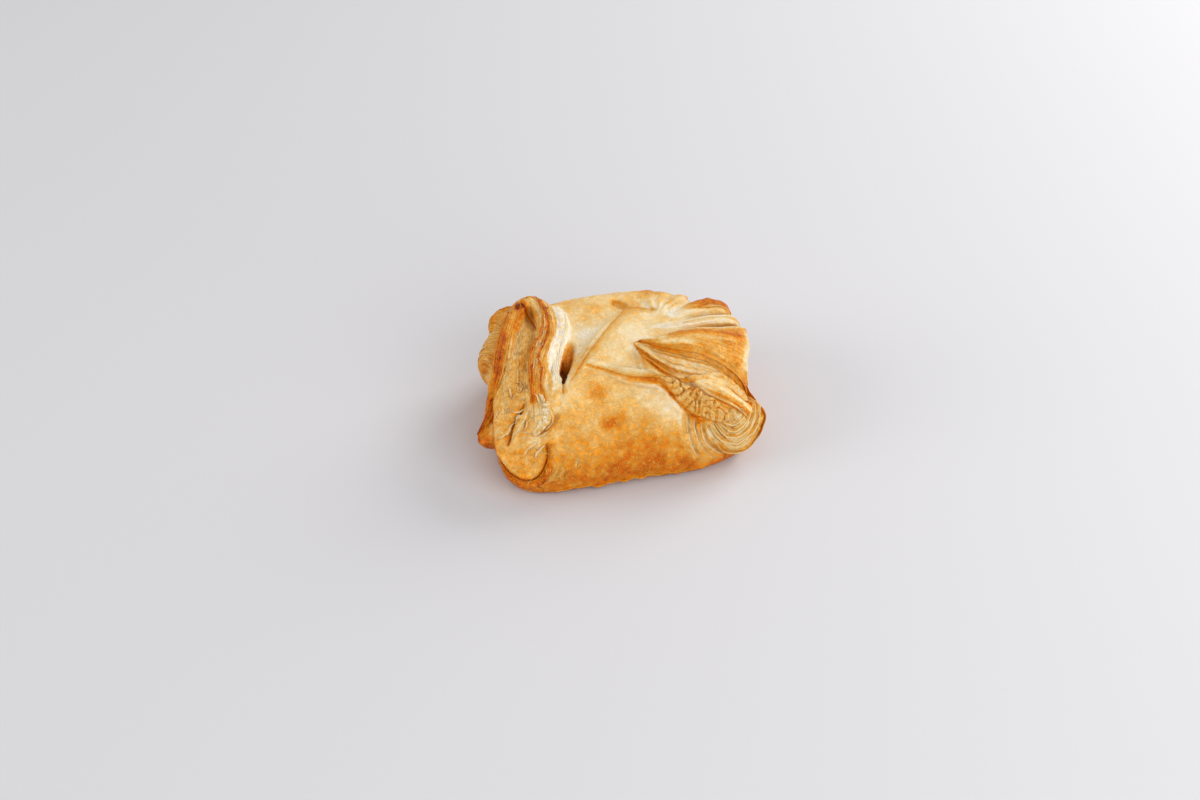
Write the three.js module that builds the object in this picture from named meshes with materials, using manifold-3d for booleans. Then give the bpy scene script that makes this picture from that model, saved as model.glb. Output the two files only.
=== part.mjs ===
// A turnover pastry: a parcel of laminated dough, folded in over its filling from both ends and baked until the
// folds have sprung open. Millimetres, +Z up, +X along the parcel, the front of the parcel towards -Y.
import * as THREE from "three";
import Module from "manifold-3d";

const { abs, cos, exp, hypot, max, min, PI, pow, sign, sin, sqrt } = Math;

// ---- Driving dimensions ----

// The parcel's walls in plan. Each wall is a run of numbers from one end of the wall to the other.
const WALLS = {
  left: [-49.5, -46.5, -41], // x, front to back
  right: [43.6, 44.6, 45],
  front: [-42, -37.6, -36.2, -36.5, -35.5], // y, left to right
  back: [39, 40, 41, 38.5, 32],
};
const BODY = {
  crown: [30, 32.8, 33.2, 33.4, 31.5], // height of the top, left to right
  squareness: 4, // of the plan: 2 is an oval, more is squarer
  leftShoulder: 10, // how boxy the section is towards each wall: 2 is an ellipse
  rightShoulder: 7,
  frontShoulder: 2.8,
  backShoulder: 11,
  swell: 2.2, // how far the walls swell past the base
  footRound: 1.8, // height of the rounding where the wall meets the base
  flatShare: 0.92, // share of the base that lies flat
};
const MESH = { around: 80, rings: 18, footLoops: 2 };

// ---- Small tools ----

const curve = (points) =>
  new THREE.CatmullRomCurve3(points.map((p) => new THREE.Vector3(...p)), false, "catmullrom", 0.5);

// A number that runs smoothly through evenly spaced values as s goes from 0 to 1.
function through(values, s) {
  const n = values.length - 1;
  const at = min(max(s, 0), 1) * n;
  const i = min(Math.floor(at), n - 1);
  const f = at - i;
  const [a, b] = [values[i], values[i + 1]];
  const before = i > 0 ? values[i - 1] : 2 * a - b;
  const after = i < n - 1 ? values[i + 2] : 2 * b - a;
  const [m0, m1] = [(b - before) / 2, (after - a) / 2];
  const [f2, f3] = [f * f, f * f * f];
  return (2 * f3 - 3 * f2 + 1) * a + (f3 - 2 * f2 + f) * m0 + (3 * f2 - 2 * f3) * b + (f3 - f2) * m1;
}

const bump = (x) => exp(-x * x);
const power = (x, p) => sign(x) * pow(abs(x), p);
const step = (x, low, high) => THREE.MathUtils.smoothstep(x, low, high);

const wasm = await Module();
wasm.setup();

// A closed solid from positions and faces; a skin that came out inside out is turned round.
function solid(positions, faces) {
  const vertProperties = new Float32Array(positions.flat());
  const build = (tris) =>
    new wasm.Manifold(new wasm.Mesh({ numProp: 3, vertProperties, triVerts: new Uint32Array(tris.flat()) }));
  const made = build(faces);
  return made.volume() < 0 ? build(faces.map(([a, b, c]) => [a, c, b])) : made;
}

// A closed skin of rings: one point, then steps - 1 rings of `sides` points, then one point.
function skin(ringPoint, steps, sides) {
  const positions = [];
  const faces = [];
  for (let i = 0; i <= steps; i++) {
    const s = (1 - cos((PI * i) / steps)) / 2;
    const count = i === 0 || i === steps ? 1 : sides;
    for (let j = 0; j < count; j++) {
      const p = ringPoint(s, j / sides);
      positions.push([p.x, p.y, max(p.z, LOWEST)]);
    }
  }
  const at = (i, j) => (i === 0 ? 0 : i === steps ? positions.length - 1 : 1 + (i - 1) * sides + (j % sides));
  for (let i = 0; i < steps; i++)
    for (let j = 0; j < sides; j++) {
      if (i > 0) faces.push([at(i, j), at(i, j + 1), at(i + 1, j + 1)]);
      if (i < steps - 1) faces.push([at(i, j), at(i + 1, j + 1), at(i + 1, j)]);
    }
  return solid(positions, faces);
}
const LOWEST = 0.2; // folds stay this far above the flat base

// A fold carried along the line of its crest. section(s, turn) gives the ring's [across, out] at share s of the
// line, where out points away from the core point. Both ends close to a round cap.
function fold({ crest, core, section, steps, sides, capPower = 3 }) {
  const line = curve(crest);
  const heart = new THREE.Vector3(...core);
  return skin(
    (s, turn) => {
      const at = line.getPoint(s);
      const ahead = line.getTangent(s);
      const out = at.clone().sub(heart);
      out.addScaledVector(ahead, -out.dot(ahead)).normalize();
      const across = new THREE.Vector3().crossVectors(ahead, out);
      const cap = pow(max(1 - pow(abs(2 * s - 1), capPower), 0), 1 / capPower);
      const [a, o] = section(s, turn);
      return at.addScaledVector(across, a * cap).addScaledVector(out, o * cap);
    },
    steps,
    sides,
  );
}

// The ring of a rounded roll whose crest lies on the path: `high` of it stands above its widest place and `sunk`
// lies below. top(c) lifts its upper side, c running from -1 to 1 across it.
function roll(turn, { half, high, sunk, top = () => 0 }) {
  const [c, n] = [cos(2 * PI * turn), sin(2 * PI * turn)];
  const out = n > 0 ? high * power(n, 0.8) + n * top(c) : -sunk * power(-n, 0.8);
  return [half * power(c, 0.85), out - high];
}

// A sheet of dough between two lines, near and far. It is `thick` deep, `crown` higher along its middle, and
// relief(s, t) is added to its upper side, t running from 0 at the near line to 1 at the far one.
function sheet({ near, far, core, thick, crown = () => 0, relief = () => 0, steps, sides }) {
  const [lineA, lineB] = [curve(near), curve(far)];
  const heart = new THREE.Vector3(...core);
  return skin(
    (s, turn) => {
      const upper = turn < 0.5;
      const t = 0.5 - 0.5 * cos(2 * PI * turn);
      const p = lineA.getPoint(s).lerp(lineB.getPoint(s), t);
      const out = p.clone().sub(heart).normalize();
      const lift = crown(s) * 4 * t * (1 - t);
      const edge = sqrt(max(4 * t * (1 - t), 0));
      const top = lift + relief(s, t);
      const half = thick(s) / 2;
      return p.addScaledVector(out, upper ? top - (1 - edge) * half : lift - (1 + edge) * half);
    },
    steps,
    sides,
  );
}

// Signed distance in plan from a line: positive on the left of its direction. Also the share along it.
function besideLine(line, samples = 24) {
  const c = curve(line.map(([x, y]) => [x, y, 0]));
  const pts = Array.from({ length: samples + 1 }, (_, i) => c.getPoint(i / samples));
  return (x, y) => {
    let best = { gap: Infinity };
    for (let i = 0; i < samples; i++) {
      const [p, q] = [pts[i], pts[i + 1]];
      const [dx, dy] = [q.x - p.x, q.y - p.y];
      const t = min(max(((x - p.x) * dx + (y - p.y) * dy) / (dx * dx + dy * dy), 0), 1);
      const [ex, ey] = [x - p.x - t * dx, y - p.y - t * dy];
      const gap = hypot(ex, ey);
      if (gap < best.gap) best = { gap, side: sign(dx * ey - dy * ex) || 1, share: (i + t) / samples };
    }
    return { d: best.gap * best.side, s: best.share };
  };
}

// ---- The parcel itself ----

const DIAGONAL = besideLine([
  [17.7, 16.4], [10, 20.3], [4.9, 18.8], [-1, 13.3], [-6.2, 7.6], [-10.4, 2.6], [-16.6, -8.3],
]);
const VALLEY = besideLine([[-10, 30], [-11, 20], [-13, 12], [-17.5, 2], [-22, -10], [-25, -18]]);

// The edge of a sheet that lies over another: a step up on the positive side that dies away behind the edge.
function lap({ d, s }, { rise, back, dip, dipWide, soft }) {
  const ends = step(s, 0, 0.15) * (1 - step(s, 0.85, 1));
  const up = d > -soft ? rise * step(d, -soft, soft) * exp(-max(d, 0) / back) : 0;
  return ends * (up - dip * bump((d + 2 * soft) / dipWide));
}

function bodyRelief(x, y) {
  let z = lap(DIAGONAL(x, y), { rise: 1.2, back: 14, dip: 1.2, dipWide: 4.5, soft: 2.6 });
  const v = VALLEY(x, y);
  z -= 1.8 * bump(v.d / 4) * step(v.s, 0.05, 0.3) * (1 - step(v.s, 0.8, 1));
  return z;
}

function body() {
  const { around, rings, footLoops } = MESH;
  const { crown, squareness, leftShoulder, rightShoulder, frontShoulder, backShoulder } = BODY;
  const { swell, footRound, flatShare } = BODY;
  // The point of the parcel at one share of the way out from its middle, in the direction of one turn.
  const spot = (reach, turn) => {
    const [c, n] = [cos(2 * PI * turn), sin(2 * PI * turn)];
    const [ends, sides] = [pow(abs(c), squareness), pow(abs(n), squareness)];
    const out = reach / pow(ends + sides, 1 / squareness);
    const [X, Y] = [out * c, out * n];
    const [x0, x1] = [through(WALLS.left, (Y + 1) / 2), through(WALLS.right, (Y + 1) / 2)];
    const [y0, y1] = [through(WALLS.front, (X + 1) / 2), through(WALLS.back, (X + 1) / 2)];
    const endShoulder = c < 0 ? leftShoulder : rightShoulder;
    const sideShoulder = n < 0 ? frontShoulder : backShoulder;
    const shoulder = (endShoulder * ends + sideShoulder * sides) / (ends + sides);
    return {
      x: (x0 + x1 + (x1 - x0) * X) / 2,
      y: (y0 + y1 + (y1 - y0) * Y) / 2,
      dome: sqrt(max(1 - pow(reach, shoulder), 0)),
      top: through(crown, (X + 1) / 2),
    };
  };
  const middle = spot(0, 0);
  const turns = Array.from({ length: around }, (_, j) => j / around);
  const positions = [[middle.x, middle.y, middle.top + bodyRelief(middle.x, middle.y)]];
  for (let i = 1; i <= rings; i++)
    for (const turn of turns) {
      const { x, y, dome, top } = spot(sin((PI * i) / rings / 2), turn);
      const [dx, dy] = [x - middle.x, y - middle.y];
      const grow = 1 + (swell * sin(PI * min(dome * 1.3, 1))) / max(hypot(dx, dy), 12);
      const [px, py] = [middle.x + dx * grow, middle.y + dy * grow];
      positions.push([px, py, footRound + (top - footRound) * dome + dome * bodyRelief(px, py)]);
    }
  for (let k = 1; k <= footLoops; k++)
    for (const turn of turns) {
      const share = 1 - ((1 - flatShare) * k) / footLoops;
      const { x, y } = spot(1, turn);
      const z = footRound * pow(1 - k / footLoops, 2);
      positions.push([middle.x + (x - middle.x) * share, middle.y + (y - middle.y) * share, z]);
    }
  positions.push([middle.x, middle.y, 0]);
  const loops = rings + footLoops;
  const at = (i, j) => (i === 0 ? 0 : i > loops ? positions.length - 1 : 1 + (i - 1) * around + (j % around));
  const faces = [];
  for (let i = 0; i <= loops; i++)
    for (let j = 0; j < around; j++) {
      if (i > 0) faces.push([at(i, j), at(i + 1, j), at(i, j + 1)]);
      if (i < loops) faces.push([at(i, j + 1), at(i + 1, j), at(i + 1, j + 1)]);
    }
  return solid(positions, faces);
}

// ---- The left end ----

// The left end is folded up and over. Its rolled edge rises from the pinched point, arches over at the back and
// comes down again beside the middle.
function leftRim() {
  return fold({
    crest: [
      [-54.9, -12.6, 12], [-52.6, -12.4, 16.8], [-50.2, -11.4, 21.5], [-48, -9, 26.5], [-45.6, -4.5, 30.2],
      [-43.4, 2, 32], [-40.8, 10, 33.2], [-37, 19.8, 34], [-32.2, 28.8, 35], [-26.8, 34.2, 35], [-22.8, 30, 35.4],
      [-22.2, 20.5, 35.6], [-24.2, 10.3, 35.7], [-28.2, 1.6, 35.4], [-31, -6, 34.6], [-33.4, -14, 33],
      [-34.6, -21, 30.2], [-34.6, -25, 27.2],
    ],
    core: [-33, 4, -12],
    steps: 40,
    sides: 10,
    capPower: 6,
    section: (s, turn) => {
      const half = through([0.8, 2.8, 3.4, 3.2, 3.4, 3.6, 3.4], s);
      return roll(turn, { half, high: 2.2, sunk: 5 });
    },
  });
}

// The hollow of the left fold: torn layers between the two sides of its edge, running down to an oval end that
// is set into the front corner.
function leftHollow() {
  return fold({
    crest: [
      [-28.5, 33, 29], [-31.3, 19, 31.6], [-34.2, 9, 32], [-36.8, -0.8, 32.2], [-39.6, -10.5, 31],
      [-41.4, -19, 28.6], [-42, -25.4, 25.4], [-42, -30.5, 21.4], [-41.4, -34.4, 16.4], [-40.6, -37, 10.8],
      [-39.6, -38, 6],
    ],
    core: [-30, 2, 0],
    steps: 26,
    sides: 18,
    capPower: 2.6,
    section: (s, turn) => {
      const half = through([4, 6, 8, 8.4, 8.6, 8.8, 9.4, 10.2, 10.6, 10.4, 9.6], s);
      const ribs = (c) => 0.5 * cos(4 * PI * c) * step(s, 0, 0.3);
      return roll(turn, { half, high: 2.4, sunk: 7, top: ribs });
    },
  });
}

// The strip beside the left rim, where the sheet underneath looks out.
function leftStrip() {
  return sheet({
    near: [
      [-21, 29, 34], [-20.5, 18, 34.4], [-24, 6, 34.2], [-27.2, -1, 33.4], [-29.8, -10, 31.4], [-30.5, -19, 27],
    ],
    far: [
      [-15.3, 30.5, 33.4], [-14.5, 18, 33.6], [-18.4, 8.5, 33.4], [-22.6, 0.4, 32.6], [-25.2, -11, 30.6],
      [-26.4, -19, 27.4],
    ],
    core: [-20, 4, 0],
    thick: () => 3.5,
    crown: () => 0.3,
    steps: 20,
    sides: 10,
  });
}

// Puffs of dough that the left end's fold has squeezed out at the back corner.
function ear({ crest, half, high }) {
  return fold({
    crest,
    core: [-28, 18, 8],
    steps: 14,
    sides: 14,
    capPower: 2.2,
    section: (s, turn) => roll(turn, { half, high, sunk: 7 }),
  });
}

// The corner of the left fold, pinched to a point that stands out from the wall.
function leftPoint() {
  return fold({
    crest: [[-45, -11, 19], [-49.5, -14, 16], [-52.6, -14.6, 12.8], [-55, -13.2, 11.5]],
    core: [-46, -12, -20],
    steps: 10,
    sides: 10,
    capPower: 6,
    section: (s, turn) => {
      const half = through([8, 6.5, 3.8, 0.6], s);
      return roll(turn, { half, high: 0.4 * half, sunk: 1.2 * half });
    },
  });
}

// ---- The right end ----

const CUT_EDGE = [
  [5.2, 0, 34.8], [8.6, -2.8, 35.5], [12.6, -6.4, 35.9], [20.4, -10.8, 36], [27.4, -13.8, 35.2], [33, -16.8, 33],
  [38.2, -19, 28.8], [42.4, -20.8, 23.4], [44.4, -22, 17], [43.4, -22.4, 10],
];
const CUT_FOOT = [
  [5, -0.8, 34.3], [5.8, -6, 34.6], [8, -12, 34.4], [12.6, -18.6, 33], [18.6, -22, 31.4], [26, -21.8, 31],
  [32.3, -21.8, 28.6], [37.6, -23.4, 24.4], [41.6, -25, 19], [43.8, -25.4, 12],
];

// The right end's flap comes up the wall, bends over and runs to a point on top.
function rightFlap() {
  return sheet({
    near: [
      [5.2, 0.2, 34.6], [8, 0.8, 35.2], [13.9, 1.2, 35.6], [21.5, 3.2, 36], [30, 4, 36], [39, 4.4, 35],
      [46.2, 5.6, 32.6], [50, 6.4, 29], [45.6, 6, 21], [43, 5, 10],
    ],
    far: CUT_EDGE,
    core: [26, -4, 0],
    thick: (s) => through([1, 3, 5, 7, 7, 4], s),
    crown: (s) => through([0, 0.9, 1.4, 1.5, 1.2, 0.6, 0.3], s),
    relief: (s, t) => 0.22 * sin(PI * t) * cos(11 * PI * t) * step(s, 0.05, 0.2) - 0.5 * bump((t - 0.14) / 0.08),
    steps: 22,
    sides: 22,
  });
}

// The face that the flap's cut edge leaves: layers that step down to a crisp lower lip.
function cutFace() {
  const terraces = 3;
  return sheet({
    near: CUT_EDGE.map(([x, y, z]) => [x - 0.4, y + 1.4, z - 1]),
    far: CUT_FOOT,
    core: [24, -2, 0],
    thick: (s) => through([0.8, 3, 5, 5, 5, 4], s),
    relief: (s, t) => 0.55 * sin(PI * t) * cos(2 * PI * terraces * t) + 0.9 * bump((t - 0.93) / 0.07),
    steps: 22,
    sides: 18,
  });
}

// A smooth leaf of dough that slips out from under the flap, above the braid.
function leaf() {
  return sheet({
    near: [[20.2, -20.4, 32.2], [27.4, -21, 31.8], [34, -23, 28.2], [39.2, -25.3, 22.8], [42.8, -26.2, 16]],
    far: [[20.7, -22.8, 31.7], [24.5, -26.5, 29], [30.2, -28.7, 25.8], [35.6, -29.9, 21.8], [40.4, -30.4, 16.1]],
    core: [28, -8, 4],
    thick: () => 4,
    crown: () => 1.1,
    steps: 16,
    sides: 14,
  });
}

// The rough braid of torn layers below the flap. It widens into the curl at the front corner, where the layers
// lie one inside another.
function braidAndCurl() {
  const [rings, grooves] = [3, 0.7]; // of the curl: how many and how deep
  const [bumps, tears] = [8, 0.6]; // of the braid
  return fold({
    crest: [
      [5.8, -6, 34.6], [7, -12.8, 34.3], [10, -18.2, 33.2], [13.8, -23.6, 31], [17.4, -27.4, 28.6],
      [21.4, -30.6, 25.6], [26, -32.6, 22.4], [31.4, -33.8, 19], [37, -33, 17], [42, -30.2, 16.2], [46, -25.6, 17],
    ],
    core: [26, -8, 4],
    steps: 34,
    sides: 20,
    capPower: 3,
    section: (s, turn) => {
      const half = through([0.9, 1.8, 2.4, 2.8, 3.2, 4.4, 6.8, 9, 10, 10.2, 10], s);
      const n = max(sin(2 * PI * turn), 0);
      const fromEnd = hypot(cos(2 * PI * turn), max((s - 0.62) / 0.38, 0));
      const curl = step(s, 0.45, 0.65) * grooves * cos(2 * PI * rings * min(fromEnd, 1));
      const torn = (1 - step(s, 0.45, 0.6)) * tears * sin(2 * PI * bumps * s + 3 * cos(2 * PI * turn));
      return roll(turn, { half, high: 2.2 + n * (curl + torn), sunk: 6 });
    },
  });
}

// A pleat that runs from the gathered middle to the back corner.
function pleat({ crest, halves, high }) {
  return fold({
    crest,
    core: [30, 10, 0],
    steps: 18,
    sides: 12,
    section: (s, turn) => roll(turn, { half: through(halves, s), high, sunk: 11 }),
  });
}

// A low fold that stands up from the parcel, such as the edge of a sheet underneath. It is flatter than it is
// wide and runs out to nothing at both ends.
function ripple({ crest, halves, core }) {
  return fold({
    crest,
    core,
    steps: 16,
    sides: 8,
    section: (s, turn) => {
      const half = through(halves, s);
      return roll(turn, { half, high: 0.5 * half, sunk: 1.5 * half });
    },
  });
}

// The slit beside the left strip, where the fold has pulled away from the middle and shows the dark inside.
function slit() {
  return fold({
    crest: [[-15.5, 9.8, 35], [-18.2, 2.4, 35], [-20.6, -3.6, 34.5], [-22.4, -8.6, 33.5], [-23.2, -12.6, 32.5]],
    core: [-19, 0, 0],
    steps: 12,
    sides: 12,
    capPower: 2,
    section: (s, turn) => roll(turn, { half: 1.6, high: 6, sunk: 7 }),
  });
}

const EARS = [
  {
    crest: [[-39, 30, 4], [-43.4, 27.6, 11], [-45.6, 26.5, 18.5], [-44, 22.5, 26], [-38.5, 16, 31]],
    half: 8.5,
    high: 3.6,
  },
  {
    crest: [[-36, 33, 19], [-39.6, 35, 25], [-38.4, 34.4, 29.4], [-34, 33, 32.2], [-29, 31, 32.6]],
    half: 4.2,
    high: 2.2,
  },
];
const PLEATS = [
  {
    crest: [
      [20, 14.5, 32.6], [27, 15.6, 34], [34.1, 17.6, 34.2], [40.8, 18.6, 33], [45.4, 17.4, 29.4], [44, 15, 18],
    ],
    halves: [1.5, 3.4, 4.4, 5, 4.6, 2],
    high: 2,
  },
  {
    crest: [
      [13, 9, 33], [22.7, 7.6, 34.2], [30.6, 7.9, 34.4], [38.7, 8.6, 33.6], [45.2, 9.6, 31], [47.4, 10.4, 25.6],
      [44, 10, 14],
    ],
    halves: [0.8, 2, 2.4, 2.6, 2.8, 1.6],
    high: 1.4,
  },
];
const TOP_CORE = [0, 0, -40];
const GATHER_CORE = [20, 14, 0];
const RIPPLES = [
  {
    crest: [
      [17.7, 16.4, 33.8], [10, 20.3, 33.6], [4.9, 18.8, 34], [-1, 13.3, 34.3], [-6.2, 7.6, 34.2],
      [-10.4, 2.6, 33.8], [-15, -5.5, 33],
    ],
    halves: [0.8, 1.4, 1.5, 1.3, 0.8],
    core: TOP_CORE,
  },
  {
    crest: [[-7, -10.6, 32.8], [-1, -14.5, 32.8], [6, -16.8, 32.7], [11.5, -19, 31.9], [16.5, -23.4, 29.6]],
    halves: [0.6, 1.4, 2, 2.4, 2],
    core: TOP_CORE,
  },
  {
    crest: [[19, 17, 33.5], [18.4, 23, 33.4], [18, 30, 32.4], [17.8, 36, 29], [17.4, 40, 20]],
    halves: [0.8, 2, 2.6, 2, 0.6],
    core: GATHER_CORE,
  },
  {
    crest: [[22.5, 16, 33.7], [26, 21.6, 33.2], [29, 27, 31.4], [32, 32, 27], [33, 35, 18]],
    halves: [0.8, 1.8, 2.4, 1.8, 0.6],
    core: GATHER_CORE,
  },
];

const whole = wasm.Manifold.union([
  body(),
  leftRim(),
  leftHollow(),
  leftStrip(),
  leftPoint(),
  ...EARS.map(ear),
  rightFlap(),
  cutFace(),
  leaf(),
  braidAndCurl(),
  ...PLEATS.map(pleat),
  ...RIPPLES.map(ripple),
]).subtract(slit());
// Pockets that the folds seal between them are filled: only the outermost skin is kept.
const outermost = whole.decompose().reduce((most, part) => (part.volume() > most.volume() ? part : most));

// ---- The scene graph ----

function geometryOf(made) {
  const mesh = made.getMesh();
  const geometry = new THREE.BufferGeometry();
  geometry.setAttribute("position", new THREE.BufferAttribute(new Float32Array(mesh.vertProperties), 3));
  geometry.setIndex(new THREE.BufferAttribute(new Uint32Array(mesh.triVerts), 1));
  geometry.computeVertexNormals();
  return geometry;
}

const dough = new THREE.MeshStandardMaterial({ color: 0xd9a35c, roughness: 0.6, metalness: 0 });
const pastry = new THREE.Mesh(geometryOf(outermost), dough);
pastry.name = "pastry";

// The group's origin lies under the middle of the parcel's box, on the surface it rests on.
pastry.geometry.computeBoundingBox();
const { min: low, max: high } = pastry.geometry.boundingBox;
const turnover = new THREE.Group();
turnover.name = "turnover";
turnover.position.set(-(low.x + high.x) / 2, -(low.y + high.y) / 2, -low.z);
turnover.add(pastry);

export default turnover;
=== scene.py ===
"""A baked turnover pastry: laminated dough folded in from both ends, welded into one crust and browned.

Shapes are worked out in millimetres in the drawing's own coordinates, +Z up, the front towards -Y. The
finished mesh is moved by DRAWN_CENTRE and scaled to metres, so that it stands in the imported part's frame.
"""

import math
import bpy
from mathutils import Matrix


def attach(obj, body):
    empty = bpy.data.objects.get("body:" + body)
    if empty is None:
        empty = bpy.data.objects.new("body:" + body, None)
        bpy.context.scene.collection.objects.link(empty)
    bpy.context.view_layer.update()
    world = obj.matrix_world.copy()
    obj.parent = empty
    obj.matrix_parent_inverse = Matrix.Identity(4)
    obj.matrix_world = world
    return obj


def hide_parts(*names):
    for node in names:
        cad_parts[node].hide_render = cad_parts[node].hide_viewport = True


bl_info = {
    "name": "Turnover Pastry",
    "version": (1, 0, 0),
    "blender": (4, 5, 0),
    "location": "3D View > Sidebar > Pastry",
    "description": "Folds, welds and browns a turnover pastry and sets it on a pale floor",
    "category": "Add Mesh",
}

import bpy
import numpy as np
from bpy.props import FloatProperty, FloatVectorProperty, IntProperty, PointerProperty
from mathutils import Matrix, Vector

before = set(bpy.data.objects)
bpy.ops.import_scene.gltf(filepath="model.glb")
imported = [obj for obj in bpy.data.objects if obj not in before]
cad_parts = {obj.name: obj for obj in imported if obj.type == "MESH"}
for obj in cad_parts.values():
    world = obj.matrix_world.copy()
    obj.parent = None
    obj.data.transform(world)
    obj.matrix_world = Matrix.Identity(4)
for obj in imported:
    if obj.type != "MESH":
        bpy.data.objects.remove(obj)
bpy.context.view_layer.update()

MM = 0.001
DRAWN_CENTRE = np.array([-3.375, 2.157, 0.0])  # middle of the drawing's box in plan, the frame's origin
FAR = 99.0  # how far out a point is said to lie that has no place on a fold
LOWEST = 0.2  # folds stay this far above the flat base
TAU = 2 * math.pi
HASH = np.array([127.1, 311.7, 74.7])  # makes one number of the coordinates of a lattice's corner
SCATTER, SEED_SHIFT = 43758.5453, 17.31  # spread those numbers, and the lattices of different seeds
ROLL_TOP, ROLL_SIDE = 0.8, 0.85  # powers that round a fold's upper side and its edges
ROOT_DEPTH, END_DEPTH = 0.9, 0.35  # how far inside the crust a leaf's root and its ends lie
LEAF_LAYERS, CRUMPLE_LAYERS = 0.7, 0.3  # how strongly layers show in leaves and in crumpled dough
PROUD_BAKES = 0.55  # how much browner a point is for each millimetre that it stands above those around it
PROUD_MOST, HOLLOW_MOST = 0.15, -0.1  # the most that this changes, on a ridge and in a hollow

# ---- Driving dimensions, in millimetres ----

# The parcel's walls in plan, each a run of numbers from one end of the wall to the other.
WALLS = {
    "left": [-49.5, -46.5, -41],  # x, front to back
    "right": [43.6, 44.6, 45],
    "front": [-42, -37.6, -36.2, -36.5, -35.5],  # y, left to right
    "back": [39, 40, 41, 38.5, 32],
}
CROWN = [30, 32.8, 33.2, 33.4, 31.5]  # height of the top, left to right
SQUARENESS = 4  # power of the superellipse in plan
SHOULDERS = {"left": 10, "right": 7, "front": 2.8, "back": 11}  # power of the rise on each side
SWELL, SWELL_FROM = 2.2, 12  # how far the walls bulge, from this far off the middle
FOOT_ROUND = 1.8  # height at which the walls start, above the flat base
FLAT_SHARE = 0.92  # how much of the outline lies flat
LAP = {"high": 1.5, "soft": 2.2, "fades": 14, "groove": 1.4, "groove_half": 4.2}  # the sheet at the diagonal
VALLEY_DEEP, VALLEY_HALF = 1.8, 4  # the valley's depth, and how far it reaches to either side

DIAGONAL = [[17.7, 16.4], [10, 20.3], [4.9, 18.8], [-1, 13.3], [-6.2, 7.6], [-10.4, 2.6], [-16.6, -8.3]]
VALLEY = [[-10, 30], [-11, 20], [-13, 12], [-17.5, 2], [-22, -10], [-25, -18]]

CUT_EDGE = [
    [5.2, 0, 34.8], [8.6, -2.8, 35.5], [12.6, -6.4, 35.9], [20.4, -10.8, 36], [27.4, -13.8, 35.2],
    [33, -16.8, 33], [38.2, -19, 28.8], [42.4, -20.8, 23.4], [44.4, -22, 17], [43.4, -22.4, 10],
]
CUT_FOOT = [
    [5, -0.8, 34.3], [5.8, -6, 34.6], [8, -12, 34.4], [12.6, -18.6, 33], [18.6, -22, 31.4],
    [26, -21.8, 31], [32.3, -21.8, 28.6], [37.6, -23.4, 24.4], [41.6, -25, 19], [43.8, -25.4, 12],
]
FLAP_EDGE = [
    [5.2, 0, 34.8], [8, 0.8, 35.2], [13.9, 1.2, 35.6], [21.5, 3.2, 36], [30, 4, 36], [39, 4.4, 35],
    [46.8, 5.8, 33.4], [50.6, 6.6, 30.2], [45.6, 6, 21], [43, 5, 10],
]

LEAF_NEAR = [[20.2, -20.4, 32.2], [27.4, -21, 31.8], [34, -23, 28.2], [39.2, -25.3, 22.8], [42.8, -26.2, 16]]
LEAF_FAR = [
    [20.7, -22.8, 31.7], [24.5, -26.5, 29], [30.2, -28.7, 25.8], [35.6, -29.9, 21.8], [40.4, -30.4, 16.1],
]

# Folds: the crest's line, the point its outside faces away from, half its width, how far it stands above its
# widest place and how far it reaches below, and how square its end caps are. With by_half both heights are in
# half widths.
RIM = {
    "crest": [
        [-54.9, -12.6, 12], [-52.6, -12.4, 16.8], [-50.2, -11.4, 21.5], [-48, -9, 26.5],
        [-45.6, -4.5, 30.2], [-43.4, 2, 32], [-40.8, 10, 33.2], [-37, 19.8, 34], [-32.2, 28.8, 35],
        [-26.8, 34.2, 35], [-22.8, 30, 35.4], [-22.2, 20.5, 35.6], [-24.2, 10.3, 35.7], [-28.2, 1.6, 35.4],
        [-31, -6, 34.6], [-33.4, -14, 33], [-34.6, -21, 30.2], [-34.6, -25, 27.2],
    ],
    "core": [-33, 4, -12], "half": [0.8, 2.8, 3.4, 3.2, 3.4, 3.6, 3.4], "high": 2.2, "sunk": 5, "cap": 6,
}
HOLLOW = {
    "crest": [
        [-28.5, 33, 29], [-31.3, 19, 31.6], [-34.2, 9, 32], [-36.8, -0.8, 32.2], [-39.6, -10.5, 31],
        [-41.4, -19, 28.6], [-42, -25.4, 25.4], [-42, -30.5, 21.4], [-41.4, -34.4, 16.4],
        [-40.6, -37, 10.8], [-39.6, -38, 6],
    ],
    "core": [-30, 2, 0], "half": [4, 6, 8, 8.4, 8.6, 8.8, 9.4, 10.2, 10.6, 10.4, 9.6],
    "high": 2.4, "sunk": 7, "cap": 2.6,
}
POINT = {
    "crest": [[-45, -11, 19], [-49.5, -14, 16], [-52.6, -14.6, 12.8], [-55, -13.2, 11.5]],
    "core": [-46, -12, -20], "half": [8, 6.5, 3.8, 0.6], "high": 0.4, "sunk": 1.2, "cap": 6, "by_half": True,
}
EAR_LOW = {
    "crest": [[-39, 30, 4], [-43.4, 27.6, 11], [-45.6, 26.5, 18.5], [-44, 22.5, 26], [-38.5, 16, 31]],
    "core": [-28, 18, 8], "half": [8.5, 8.5], "high": 3.6, "sunk": 7, "cap": 2.2,
}
EAR_HIGH = {
    "crest": [[-36, 33, 19], [-39.6, 35, 25], [-38.4, 34.4, 29.4], [-34, 33, 32.2], [-29, 31, 32.6]],
    "core": [-28, 18, 8], "half": [4.2, 4.2], "high": 2.2, "sunk": 7, "cap": 2.2,
}
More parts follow.
